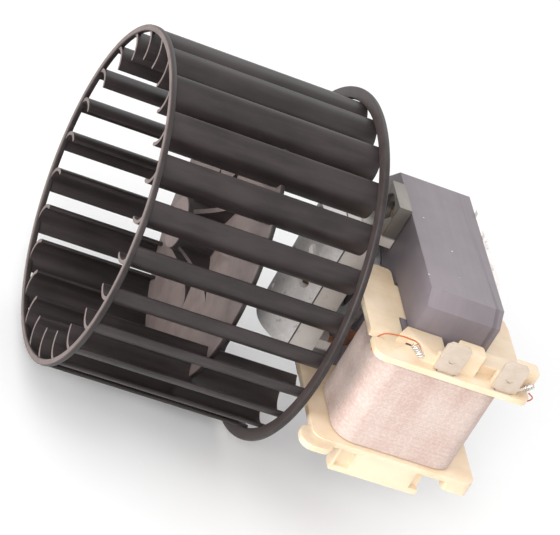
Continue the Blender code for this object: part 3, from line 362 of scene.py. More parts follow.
@dataclass(frozen=True)
class WindingWire:
    """Fine varnished wire, pale pink, with the odd darker turn."""

    slot: str = "winding_wire"
    pale: Colour = (0.605, 0.495, 0.445)
    deep: Colour = (0.50, 0.34, 0.295)
    mottle: Span = (0.38, 0.70)
    gleam: Colour = (0.93, 0.86, 0.82)
    gleam_share: float = 0.14
    rough: float = 0.40
    depth: float = 0.04 * MM
    turn: Grain = Grain(60.0, 4.0, 0.7, (0.04, 0.04, 26.0))
    band: Grain = Grain(190.0, 2.0, 0.5, (1.0, 1.0, 0.10))
    cloud: Grain = Grain(75.0)
    dot: Grain = Grain(1500.0, 1.0)

    def build(self) -> Material:
        """Returns the material."""
        shade = Shade(self.slot)
        cloud = shade.noise(self.cloud)
        mottle = shade.noise(self.turn) * 0.3 + shade.noise(self.band) * 0.35 + cloud * 0.35
        colour = shade.mix(mottle.step(*self.mottle), self.pale, self.deep)
        dots = shade.noise(self.dot).step(0.45, 0.62)
        colour = shade.mix(dots * self.gleam_share, colour, self.gleam)
        return shade.finish(Base_Color=colour, Roughness=self.rough + cloud * 0.14, Coat_Weight=0.18,
                            Coat_Roughness=0.32, Normal=shade.bump(cloud, self.depth))


@dataclass(frozen=True)
class CastMetal:
    """Die-cast metal: speckled, with a fine rough skin, polished feet and a seam round the nose."""

    slot: str
    bright: Colour
    dull: Colour
    metallic: float = 0.85
    rough: float = 0.34
    depth: float = 0.12 * MM
    front_share: float = 0.0
    front_end: Span = (6.0 * MM, 8.0 * MM)
    foot_start: float = 17.3 * MM
    foot_fade: float = 0.8 * MM
    foot_metallic: float = 0.6
    polished: Colour = (0.23, 0.208, 0.188)
    seam: float = -9.4 * MM
    seam_half: float = 0.22 * MM
    # A darker, browner colour on the front bracket past the seam, away from the nose and the feet
    past_seam_tone: Colour = (0.62, 0.56, 0.50)
    cloud: Grain = Grain(150.0, 4.0, 0.6)
    speckle: Grain = Grain(1150.0, 3.0, 0.7)
    pit: Grain = Grain(640.0, 2.0)

    def build(self) -> Material:
        """Returns the material."""
        shade = Shade(self.slot)
        height = shade.part("Z")
        along = shade.part("X")
        front = (1 - along.step(*self.front_end)) * self.front_share
        foot = (height * height).step(self.foot_start ** 2, (self.foot_start + self.foot_fade) ** 2) * front
        left, right = self.seam - self.seam_half, self.seam + self.seam_half
        line = along.step(left, self.seam) * (1 - along.step(self.seam, right)) * front
        past = along.step(self.seam, self.seam + 0.1 * MM) * front * (1 - foot)
        cloud = shade.noise(self.cloud)
        speckle = shade.noise(self.speckle)
        pits = shade.noise(self.pit).step(0.64, 0.72)
        colour = shade.mix(blend(0.5, cloud, speckle).step(0.36, 0.64), self.dull, self.bright)
        colour = shade.mix(pits * 0.45, colour, dimmed(self.dull, 0.45))
        # Darker and browner past the seam
        colour = shade.mix(past * 0.7, colour, self.past_seam_tone)
        colour = shade.mix(line * 3.0, colour, dimmed(self.dull, 0.2))
        colour = shade.mix(foot, colour, shade.mix(cloud, self.polished, dimmed(self.polished, 0.75)))
        skin = (speckle * 0.55 + cloud * 0.25 - pits * 0.3) * (1 - foot * 0.8) - line * 2.0
        return shade.finish(Base_Color=colour, Normal=shade.bump(skin, self.depth),
                            Metallic=foot * (self.foot_metallic - self.metallic) + self.metallic,
                            Roughness=self.rough + speckle * 0.22 - foot * 0.06)


@dataclass(frozen=True)
class CoreSteel:
    """Varnished electrical steel: violet grey, with lines between the sheets and a few bright specks."""

    slot: str = "core_steel"
    face: Colour = (0.220, 0.189, 0.208)
    shadow: Colour = (0.175, 0.150, 0.166)
    spatter: Colour = (0.80, 0.78, 0.76)
    rust: Colour = (0.24, 0.15, 0.11)
    rust_share: float = 0.16
    groove_share: float = 0.45
    rear_lines: float = 17.6 * MM
    front_lines: float = 5.6 * MM
    rough: float = 0.44
    depth: float = 0.04 * MM
    sheet: Grain = Grain(1.0 / (1.2 * MM), 2.0, 0.7, (1.0, 0.010, 0.010))
    cloud: Grain = Grain(58.0, 4.0, 0.6)
    speck: Grain = Grain(640.0, 1.0)
    bloom: Grain = Grain(210.0, 5.0, 0.7)

    def build(self) -> Material:
        """Returns the material."""
        shade = Shade(self.slot)
        line = shade.noise(self.sheet)
        cloud = shade.noise(self.cloud)
        along = shade.part("X")
        rear = along.step(self.rear_lines, self.rear_lines + MM)
        front = 1 - along.step(self.front_lines - MM, self.front_lines)
        groove = (1 - line.step(0.36, 0.43)) * (rear + front)
        colour = shade.mix(blend(0.8, cloud, line).step(0.30, 0.70), self.shadow, self.face)
        colour = shade.mix(groove * self.groove_share, colour, dimmed(self.shadow, 0.45))
        colour = shade.mix(shade.noise(self.speck).step(0.805, 0.815), colour, self.spatter)
        rust = shade.noise(self.bloom).step(0.63, 0.76)
        colour = shade.mix(rust * self.rust_share, colour, self.rust)
        return shade.finish(Base_Color=colour, Metallic=0.05, Roughness=self.rough + cloud * 0.12,
                            Coat_Weight=0.08, Coat_Roughness=0.30,
                            Normal=shade.bump(cloud - groove * 0.8, self.depth))


@dataclass(frozen=True)
class PlainMetal:
    """Drawn, turned or plated metal with fine scratches along the shaft's direction."""

    slot: str
    tone: Colour
    stain: Colour
    metallic: float = 1.0
    rough: float = 0.28
    name: str = ""
    depth: float = 0.02 * MM
    scratch: Grain = Grain(900.0, 3.0, 0.7, (0.12, 1.0, 1.0))
    cloud: Grain = Grain(330.0)

    def build(self) -> Material:
        """Returns the material."""
        shade = Shade(self.name or self.slot)
        scratch = shade.noise(self.scratch)
        mottle = blend(0.6, shade.noise(self.cloud), scratch)
        colour = shade.mix(mottle.step(0.40, 0.70), self.tone, self.stain)
        return shade.finish(Base_Color=colour, Metallic=self.metallic,
                            Roughness=self.rough + scratch * 0.18, Normal=shade.bump(scratch, self.depth))


@dataclass(frozen=True)
class SoftFibre:
    """Oiled felt, or plain nylon where the fibres are weak."""

    slot: str
    tone: Colour
    deep: Colour
    depth: float = 0.3 * MM
    fibre: Grain = Grain(2400.0, 5.0, 0.75)

    def build(self) -> Material:
        """Returns the material."""
        shade = Shade(self.slot)
        fibre = shade.noise(self.fibre)
        colour = shade.mix(fibre.step(0.38, 0.66), self.deep, self.tone)
        return shade.finish(Base_Color=colour, Roughness=0.9, Normal=shade.bump(fibre, self.depth))


@dataclass(frozen=True)
class Look:
    """A finish as it is used: the record's material slot and the material."""

    slot: str
    material: Material


def built(finish: Any) -> Any:
    """A palette's field that holds the look of a finish."""
    return field(default_factory=lambda: Look(finish.slot, finish.build()))


@dataclass
class Palette:
    """Every finish of the motor, built once."""

    plastic: Look = built(WheelPlastic())
    cream: Look = built(CreamNylon())
    winding: Look = built(WindingWire())
    core: Look = built(CoreSteel())
    cast: Look = built(CastMetal("cast_zinc", (0.96, 0.92, 0.90), (0.82, 0.77, 0.75), metallic=0.10,
                                 rough=0.36, front_share=1.0))
    cage: Look = built(CastMetal("cast_aluminium", (0.72, 0.72, 0.72), (0.52, 0.52, 0.53)))
    bronze: Look = built(CastMetal("sintered_bronze", (0.52, 0.36, 0.20), (0.30, 0.19, 0.10),
                                   metallic=0.8, rough=0.5))
    tin: Look = built(PlainMetal("tinned_brass", (0.58, 0.485, 0.405), (0.50, 0.41, 0.33),
                                 metallic=0.30, rough=0.42))
    solder: Look = built(PlainMetal("tinned_brass", (0.78, 0.74, 0.70), (0.42, 0.34, 0.27),
                                    metallic=0.9, rough=0.20, name="solder"))
    steel: Look = built(PlainMetal("bright_steel", (0.66, 0.64, 0.61), (0.50, 0.47, 0.43)))
    yellow: Look = built(PlainMetal("yellow_steel", (0.62, 0.47, 0.22), (0.40, 0.30, 0.16),
                                    metallic=0.9, rough=0.32))
    copper: Look = built(PlainMetal("copper", (0.74, 0.40, 0.26), (0.50, 0.24, 0.14)))
    enamel: Look = built(PlainMetal("enamelled_wire", (0.56, 0.14, 0.045), (0.38, 0.08, 0.025),
                                    metallic=0.2, rough=0.30))
    felt: Look = built(SoftFibre("felt", (0.45, 0.38, 0.27), (0.24, 0.19, 0.12)))
    nylon: Look = built(SoftFibre("washer_nylon", (0.80, 0.79, 0.74), (0.72, 0.70, 0.64), depth=0.04 * MM))


# Mesh helpers


def linked(name: str, data: bpy.types.ID) -> bpy.types.Object:
    """Puts a mesh, a lamp or a camera into the scene as an object at the origin.

    Args:
        name: The object's name.
        data: Its mesh, lamp or camera data.

    Returns:
        The object.
    """
    made = bpy.data.objects.new(name, data)
    bpy.context.scene.collection.objects.link(made)
    return made


def to_mesh(shape: bmesh.types.BMesh) -> Mesh:
    """Ends a bmesh in a mesh with its doubles merged and its faces turned out.

    Args:
        shape: The bmesh, which is used up.

    Returns:
        The mesh.
    """
    bmesh.ops.remove_doubles(shape, verts=shape.verts, dist=MADE_GAP)
    bmesh.ops.recalc_face_normals(shape, faces=shape.faces)
    mesh = bpy.data.meshes.new("made")
    shape.to_mesh(mesh)
    shape.free()
    return mesh


def smoothed(mesh: Mesh, angle: float = SHARP) -> Mesh:
    """Shades a mesh smooth.

    Args:
        mesh: The mesh.
        angle: Edges sharper than this stay sharp.

    Returns:
        The same mesh.
    """
    mesh.shade_smooth()
    mesh.set_sharp_from_angle(angle=angle)
    return mesh


def joined(meshes: list[Mesh]) -> Mesh:
    """Collects several meshes in one.

    Args:
        meshes: What goes into it.

    Returns:
        The new mesh.
    """
    shape = bmesh.new()
    for mesh in meshes:
        shape.from_mesh(mesh)
    result = bpy.data.meshes.new("joined")
    shape.to_mesh(result)
    shape.free()
    return smoothed(result)


def arc(centre: Point, radius: float, start: float, end: float, steps: int) -> list[Point]:
    """Points along an arc.

    Args:
        centre: The arc's centre.
        radius: Its radius.
        start: First angle in degrees.
        end: Last angle in degrees.
        steps: How many stretches it has.

    Returns:
        The points, both ends included.
    """
    turns = [math.radians(start + (end - start) * k / steps) for k in range(steps + 1)]
    return [(centre[0] + radius * math.cos(t), centre[1] + radius * math.sin(t)) for t in turns]


def softened_profile(points: list[Point], radius: float, steps: int = 3) -> list[Point]:
    """Rounds the corners of a closed outline.

    Args:
        points: The outline's corners.
        radius: The wanted radius, limited by the neighbouring edges.
        steps: How many stretches a corner gets.

    Returns:
        The rounded outline.
    """
    result = []
    count = len(points)
    for k, here in enumerate(points):
        corner = Vector(here)
        before = Vector(points[k - 1]) - corner
        after = Vector(points[(k + 1) % count]) - corner
        reach = min(radius, before.length * CORNER_SHARE, after.length * CORNER_SHARE)
        first = corner + before.normalized() * reach
        last = corner + after.normalized() * reach
        for n in range(steps + 1):
            share = n / steps
            point = first * (1 - share) ** 2 + corner * (2 * share * (1 - share)) + last * share ** 2
            result.append((point.x, point.y))
    return result


def turned(profile: list[Point], steps: int) -> Mesh:
    """A ring turned about X.

    Args:
        profile: A closed outline of (x, radius) points.
        steps: Faces round the ring.

    Returns:
        The mesh.
    """
    shape = bmesh.new()
    rows = []
    for k in range(steps):
        turn = 2 * math.pi * k / steps
        rows.append([shape.verts.new((x, r * math.sin(turn), r * math.cos(turn))) for x, r in profile])
    for k, row in enumerate(rows):
        following = rows[(k + 1) % steps]
        for n in range(len(profile)):
            after = (n + 1) % len(profile)
            shape.faces.new((row[n], row[after], following[after], following[n]))
    return to_mesh(shape)


def plate(outline: list[Point], low: float, high: float,
          place: Callable[[float, float, float], Vector]) -> Mesh:
    """A flat plate with the given outline.

    Args:
        outline: The plate's corners.
        low: Its lower face along its thickness.
        high: Its upper face.
        place: Turns (first, second, thickness) into a point.

    Returns:
        The mesh.
    """
    shape = bmesh.new()
    lower = [shape.verts.new(place(a, b, low)) for a, b in outline]
    upper = [shape.verts.new(place(a, b, high)) for a, b in outline]
    shape.faces.new(lower)
    shape.faces.new(list(reversed(upper)))
    for k in range(len(outline)):
        after = (k + 1) % len(outline)
        shape.faces.new((lower[after], lower[k], upper[k], upper[after]))
    return to_mesh(shape)


def merged_copy(node: str) -> bmesh.types.BMesh:
    """A solid of the model with whole flat faces in place of loose triangles.

    Args:
        node: The solid's name.

    Returns:
        The bmesh.
    """
    shape = bmesh.new()
    shape.from_mesh(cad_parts[node].data)
    bmesh.ops.remove_doubles(shape, verts=shape.verts, dist=COPY_GAP)
    bmesh.ops.dissolve_limit(shape, angle_limit=FLAT_ANGLE, verts=shape.verts, edges=shape.edges)
    return shape


def modified(mesh: Mesh, kind: str, settings: dict[str, Any]) -> Mesh:
    """Applies one modifier.

    Args:
        mesh: The mesh that it works on.
        kind: The modifier's type.
        settings: Its properties, or the inputs of its node tree by identifier.

    Returns:
        The result as a plain mesh.
    """
    holder = linked(f"{mesh.name}_holder", mesh)
    modifier = holder.modifiers.new("maker", kind)
    for name, value in settings.items():
        if hasattr(modifier, name):
            setattr(modifier, name, value)
        else:
            modifier[name] = value
    bpy.context.view_layer.update()
    graph = bpy.context.evaluated_depsgraph_get()
    result = bpy.data.meshes.new_from_object(holder.evaluated_get(graph))
    bpy.data.objects.remove(holder, do_unlink=True)
    return result


def with_edges(shape: bmesh.types.BMesh, width: float, segments: int = 2) -> Mesh:
    """Rounds every sharp edge of a solid with a bevel.

    Args:
        shape: The solid, which is used up.
        width: The bevel's width.
        segments: Its stretches.

    Returns:
        The rounded mesh.
    """
    mesh = bpy.data.meshes.new("solid")
    shape.to_mesh(mesh)
    shape.free()
    bevel = {"width": width, "segments": segments, "limit_method": "ANGLE", "angle_limit": EDGE_ANGLE}
    result = modified(mesh, "BEVEL", bevel)
    result.materials.clear()
    return smoothed(result)


# Geometry Nodes


class Grower(Graph):
    """A Geometry Nodes tree with named inputs that turns a base mesh into a plain mesh."""

    def __init__(self, name: str, inputs: dict[str, float | int]) -> None:
        """Starts a tree.

        Args:
            name: The tree's name.
            inputs: The names and values of its inputs.
        """
        super().__init__(bpy.data.node_groups.new(name, "GeometryNodeTree"))
        face = self.tree.interface
        face.new_socket("Geometry", in_out="INPUT", socket_type="NodeSocketGeometry")
        for label, value in inputs.items():
            kind = "NodeSocketInt" if isinstance(value, int) else "NodeSocketFloat"
            face.new_socket(label, in_out="INPUT", socket_type=kind)
        face.new_socket("Geometry", in_out="OUTPUT", socket_type="NodeSocketGeometry")
        self.values = inputs
        self.source = self.tree.nodes.new("NodeGroupInput")

    def given(self, label: str) -> Val:
        """One of the tree's own inputs."""
        return Val(self, self._find(self.source.outputs, label))

    def vector(self, x: Val | float, y: Val | float, z: Val | float) -> Val:
        """A vector of three values."""
        return self.make("ShaderNodeCombineXYZ", {}, {"X": x, "Y": y, "Z": z})

    def line(self, step: Val) -> Val:
        """As many points as the tree's Count input says, one step apart."""
        return self.make("GeometryNodeMeshLine", {}, {"Count": self.given("Count"), "Offset": step})

    def tube(self, path: Val, faces: int) -> Val:
        """A wire along a path, as thick as the tree's Wire input says.

        Args:
            path: The path, as a curve.
            faces: How many faces go round the wire.

        Returns:
            The wire.
        """
        sockets = {"Resolution": faces, "Radius": self.given("Wire")}
        section = self.make("GeometryNodeCurvePrimitiveCircle", {}, sockets)
        sockets = {"Curve": path, "Profile Curve": section, "Fill Caps": True}
        return self.make("GeometryNodeCurveToMesh", {}, sockets)

    def close(self, grown: Val, material: Material) -> None:
        """Ends the tree in Realize Instances and Set Material.

        Args:
            grown: What the tree has made.
            material: Its finish.
        """
        real = self.make("GeometryNodeRealizeInstances", {}, {"Geometry": grown})
        painted = self.make("GeometryNodeSetMaterial", {}, {"Geometry": real, "Material": material})
        self.make("NodeGroupOutput", {}, {"Geometry": painted})

    def run(self, base: Mesh) -> Mesh:
        """Grows a base mesh.

        Args:
            base: The mesh that the tree starts from.

        Returns:
            The result as a plain mesh.
        """
        settings = {"node_group": self.tree}
        for item in self.tree.interface.items_tree:
            if item.in_out == "INPUT" and item.name in self.values:
                settings[item.identifier] = self.values[item.name]
        return modified(base, "NODES", settings)


def pattern(name: str, base: Mesh, material: Material, count: int, pitch: float = 0.0,
            turn: float = 0.0, phase: float = 0.0, swell: float = 0.0) -> Mesh:
    """Repeats a mesh along the shaft, round it, or both.

    Args:
        name: The mesh's name.
        base: The piece that is repeated.
        material: Its finish.
        count: How many copies.
        pitch: The way along X from one copy to the next.
        turn: The turn about X from one copy to the next, in radians.
        phase: The first copy's turn, in radians.
        swell: How much a copy's size may vary across X.

    Returns:
        All copies as one plain mesh.
    """
    grower = Grower(name, {"Count": count, "Pitch": pitch, "Turn": turn, "Phase": phase, "Swell": swell,
                           "Seed": SEED})
    line = grower.line(grower.vector(grower.given("Pitch"), 0.0, 0.0))
    angle = grower.make("GeometryNodeInputIndex") * grower.given("Turn") + grower.given("Phase")
    turning = grower.make("FunctionNodeEulerToRotation", {}, {"Euler": grower.vector(angle, 0.0, 0.0)})
    share = grower.given("Swell")
    sockets = {"Min_001": 1 - share, "Max_001": 1 + share, "Seed": grower.given("Seed")}
    size = grower.make("FunctionNodeRandomValue", {"data_type": "FLOAT"}, sockets, "Value_001")
    copies = grower.make("GeometryNodeInstanceOnPoints", {},
                         {"Points": line, "Instance": grower.given("Geometry"), "Rotation": turning,
                          "Scale": grower.vector(1.0, size, size)})
    grower.close(copies, material)
    return smoothed(grower.run(base))


# Sub-assemblies


@dataclass
class Part:
    """What every sub-assembly shares: the finishes, the body and the way a piece joins the motor."""

    looks: Palette
    body: Body = Body.MOTOR

    def place(self, name: str, mesh: Mesh, look: Look, node: str) -> None:
        """Adds a finished piece.

        Args:
            name: The piece's name.
            mesh: Its mesh, already in place.
            look: Its finish.
            node: The solid that it stands for.
        """
        mesh.name = name
        mesh.materials.clear()
        mesh.materials.append(look.material)
        piece = linked(name, mesh)
        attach(piece, self.body.value)
        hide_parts(node)
        log.info("%s: %d faces on %s", name, len(mesh.polygons), self.body.value)

    def dress(self, node: str, look: Look) -> None:
        """Gives a carried-over solid its finish.

        Args:
            node: The solid's name.
            look: The finish.
        """
        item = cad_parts[node]
        if not item.material_slots:
            item.data.materials.append(None)
        for slot in item.material_slots:
            slot.link = "OBJECT"
            slot.material = look.material
        log.info("%s: dressed", node)

    def rounded(self, node: str, look: Look, width: float, segments: int = 2) -> None:
        """Replaces a solid by a copy of itself with rounded edges.

        Args:
            node: The solid's name.
            look: Its finish.
            width: The rounding's width.
            segments: Its stretches.
        """
        mesh = with_edges(merged_copy(node), width, segments)
        self.place(f"{node}_finished", mesh, look, node)


@dataclass(frozen=True)
class Ring:
    """A ring's outer radius, wall and width, and the rounding of its section."""

    radius: float
    wall: float
    width: float
    edge: float


@dataclass
class Wheel(Part):
    """The fan wheel: two rings, curved blades, and a disc with its hub and ribs. Angles are in degrees."""

    body: Body = Body.ROTOR
    blades: int = 24
    blade_phase: float = 2.6
    blade_thick: float = 0.9 * MM
    curve: float = 4.96 * MM
    pitch_radius: float = 35.85 * MM
    aside: float = 4.47 * MM
    sweep: Span = (-117.0, 9.0)
    curve_steps: int = 20
    cap_steps: int = 5
    ring_bite: float = 0.3
    front_ring: Ring = Ring(41.7 * MM, 1.6 * MM, 1.5 * MM, 0.5 * MM)
    rear_ring: Ring = Ring(44.4 * MM, 3.1 * MM, 1.5 * MM, 0.6 * MM)
    disc_from_front: float = 31.0 * MM
    disc_thick: float = 1.3 * MM
    disc_radius: float = 36.9 * MM
    hub_radius: float = 6.5 * MM
    hub_front: float = 9.5 * MM
    hub_rear: float = 4.5 * MM
    hub_flare: float = 0.25 * MM
    fillet: float = 0.45 * MM
    bore: float = 3.05 * MM
    ribs: int = 8
    rib_phase: float = 26.5
    rib_thick: float = 1.2 * MM
    rib_reach: float = 19.5 * MM
    rib_sink: float = 0.6 * MM
    rib_steps: int = 12
    ring_faces: int = 160
    disc_faces: int = 120

    def ends(self) -> Span:
        """The wheel's front and rear along the shaft."""
        low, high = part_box("impeller")
        return low.x, high.x

    def blade_section(self) -> list[Point]:
        """The first blade's section across the shaft, with round edges, as (y, z) points."""
        start, end = self.sweep
        half = self.blade_thick / 2
        centre = (self.pitch_radius, self.aside)
        outer = arc(centre, self.curve + half, start, end, self.curve_steps)
        inner = arc(centre, self.curve - half, end, start, self.curve_steps)
        first, last = arc(centre, self.curve, start, end, 1)
        cap = arc(last, half, end, end + 180, self.cap_steps)[1:-1]
        foot = arc(first, half, start + 180, start + 360, self.cap_steps)[1:-1]
        return [(b, a) for a, b in outer + cap + inner + foot]

    def blade_set(self) -> Mesh:
        """All blades."""
        front, rear = self.ends()
        low = front + self.front_ring.width * self.ring_bite
        high = rear - self.rear_ring.width * self.ring_bite
        blade = plate(self.blade_section(), low, high, lambda y, z, x: Vector((x, y, z)))
        turn = 2 * math.pi / self.blades
        return pattern("blades", blade, self.looks.plastic.material, self.blades, turn=turn,
                       phase=math.radians(self.blade_phase))

    def rib_set(self) -> Mesh:
        """The thin gussets between hub and disc."""
        disc = self.ends()[0] + self.disc_from_front
        inner = self.hub_radius - self.rib_sink
        height = self.hub_front - self.rib_sink
        base = disc + self.disc_thick / 2
        reach = self.rib_reach - inner
        shares = [n / self.rib_steps for n in range(self.rib_steps + 1)]
        edge = [(disc - height * (1 - share) ** 2, inner + reach * share) for share in shares]
        edge += [(base, self.rib_reach), (base, inner)]
        half = self.rib_thick / 2
        rib = plate(edge, -half, half, lambda x, z, y: Vector((x, y, z)))
        return pattern("ribs", rib, self.looks.plastic.material, self.ribs, turn=2 * math.pi / self.ribs,
                       phase=math.radians(self.rib_phase))

    def ring(self, size: Ring, low: float) -> Mesh:
        """One of the two rings, with a rounded section.

        Args:
            size: The ring's sizes.
            low: Its front end along the shaft.

        Returns:
            The mesh.
        """
        inner = size.radius - size.wall
        high = low + size.width
        corners = [(low, inner), (low, size.radius), (high, size.radius), (high, inner)]
        return turned(softened_profile(corners, size.edge), self.ring_faces)

    def hub_and_disc(self) -> Mesh:
        """The disc with its hub, as one turned piece with small fillets."""
        disc = self.ends()[0] + self.disc_from_front
        back = disc + self.disc_thick
        front, rear = disc - self.hub_front, back + self.hub_rear
        root = self.hub_radius + self.hub_flare
        profile = [(front, self.bore), (front, self.hub_radius), (disc, root), (disc, self.disc_radius),
                   (back, self.disc_radius), (back, root), (rear, self.hub_radius), (rear, self.bore)]
        return turned(softened_profile(profile, self.fillet), self.disc_faces)

    def build(self) -> None:
        """Builds the wheel in place of the plain one."""
        front, rear = self.ends()
        mesh = joined([self.blade_set(), self.rib_set(), self.hub_and_disc(),
                       self.ring(self.front_ring, front),
                       self.ring(self.rear_ring, rear - self.rear_ring.width)])
        self.place("fan_wheel", mesh, self.looks.plastic, "impeller")


@dataclass
class Coil(Part):
    """The winding: turns of fine wire over a plain core."""

    wire: float = 0.125 * MM
    pitch: float = 0.235 * MM
    corner: float = 5.5 * MM
    corner_steps: int = 7
    slack: float = 0.02 * MM
    wire_faces: int = 6
    jitter: float = 0.016 * MM
    jitter_rise: float = 0.5
    lining: float = 0.16 * MM

    def outline(self, inset: float) -> list[Point]:
        """The winding's outline, seen along Z.

        Args:
            inset: How far it lies inside the solid's.

        Returns:
            The outline.
        """
        low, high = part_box("winding")
        radius = self.corner - inset
        left, right = low.x + inset + radius, high.x - inset - radius
        front, back = low.y + inset + radius, high.y - inset - radius
        centres = ((right, back), (left, back), (left, front), (right, front))
        points = []
        for start, centre in zip((0, 90, 180, 270), centres):
            points += arc(centre, radius, start, start + 90, self.corner_steps)
        return points

    def turn(self) -> Mesh:
        """One closed turn of wire, as edges, at the winding's lower end."""
        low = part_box("winding")[0].z + self.wire
        points = [Vector((x, y, low)) for x, y in self.outline(self.wire + self.slack)]
        edges = [(k, (k + 1) % len(points)) for k in range(len(points))]
        mesh = bpy.data.meshes.new("turn")
        mesh.from_pydata(points, edges, [])
        return mesh

    def turns(self, count: int) -> Mesh:
        """Turns of wire that lie over each other along Z, each a little aside.

        Args:
            count: How many turns.

        Returns:
            All turns as one plain mesh.
        """
        grower = Grower("turns", {"Count": count, "Pitch": self.pitch, "Wire": self.wire,
                                  "Jitter": self.jitter, "Rise": self.jitter_rise, "Seed": SEED})
        line = grower.line(grower.vector(0.0, 0.0, grower.given("Pitch")))
        side = grower.given("Jitter")
        rise = side * grower.given("Rise")
        low, high = grower.vector(0 - side, 0 - side, 0 - rise), grower.vector(side, side, rise)
        sockets = {"Min": low, "Max": high, "Seed": grower.given("Seed")}
        aside = grower.make("FunctionNodeRandomValue", {"data_type": "FLOAT_VECTOR"}, sockets)
        points = grower.make("GeometryNodeSetPosition", {}, {"Geometry": line, "Offset": aside})
        path = grower.make("GeometryNodeMeshToCurve", {}, {"Mesh": grower.given("Geometry")})
        sockets = {"Points": points, "Instance": grower.tube(path, self.wire_faces)}
        copies = grower.make("GeometryNodeInstanceOnPoints", {}, sockets)
        grower.close(copies, self.looks.winding.material)
        return smoothed(grower.run(self.turn()), WIRE_SHARP)

    def build(self) -> None:
        """Builds the winding."""
        low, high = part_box("winding")
        count = int((high.z - low.z - 2 * self.wire) / self.pitch) + 1
        inside = plate(self.outline(self.lining), low.z + self.lining, high.z - self.lining,
                       lambda x, y, z: Vector((x, y, z)))
        self.place("wound_wire", joined([self.turns(count), inside]), self.looks.winding, "winding")


@dataclass
class Core(Part):
    """The stator: its varnished stack, the bar through the coil and the shading rings."""

    edge: float = 0.45 * MM
    sheets: int = 38
    sheet_edge: float = 0.02 * MM
    gap_share: float = 0.02
    swell: float = 0.0003

    def stack(self, node: str) -> Mesh:
        """A stack of sheets with the section of a solid.

        Args:
            node: The solid's name.

        Returns:
            The mesh.
        """
        low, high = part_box(node)
        pitch = (high.x - low.x) / self.sheets
        shape = merged_copy(node)
        squeeze = pitch * (1 - self.gap_share) / (high.x - low.x)
        for vert in shape.verts:
            vert.co.x = low.x + (vert.co.x - low.x) * squeeze
        sheet = with_edges(shape, self.sheet_edge, 1)
        steel = self.looks.core.material
        return pattern(f"{node}_stack", sheet, steel, self.sheets, pitch, swell=self.swell)

    def build(self) -> None:
        """Builds the stator."""
        self.rounded("stator_core", self.looks.core, self.edge, 3)
        self.place("bar_stack", self.stack("core_bar"), self.looks.core, "core_bar")
        for index in range(1, 5):
            self.dress(f"shading_ring_{index}", self.looks.copper)


@dataclass
class Brackets(Part):
    """The two cast brackets, their screws and the bearings in them."""

    edge: float = 0.32 * MM
    screw_edge: float = 0.12 * MM

    def build(self) -> None:
        """Builds the brackets and dresses what they hold."""
        for node in ("front_bracket", "rear_bracket"):
            self.rounded(node, self.looks.cast, self.edge, 3)
        for node in ("bracket_screw_1", "bracket_screw_2"):
            self.rounded(node, self.looks.yellow, self.screw_edge)
        for end in ("front", "rear"):
            self.dress(f"{end}_bearing", self.looks.bronze)
            self.dress(f"{end}_felt", self.looks.felt)
            self.dress(f"{end}_retainer", self.looks.steel)


@dataclass
class Former(Part):
    """The cream coil former."""

    edge: float = 0.28 * MM

    def build(self) -> None:
        """Builds the former."""
        self.rounded("bobbin", self.looks.cream, self.edge, 3)


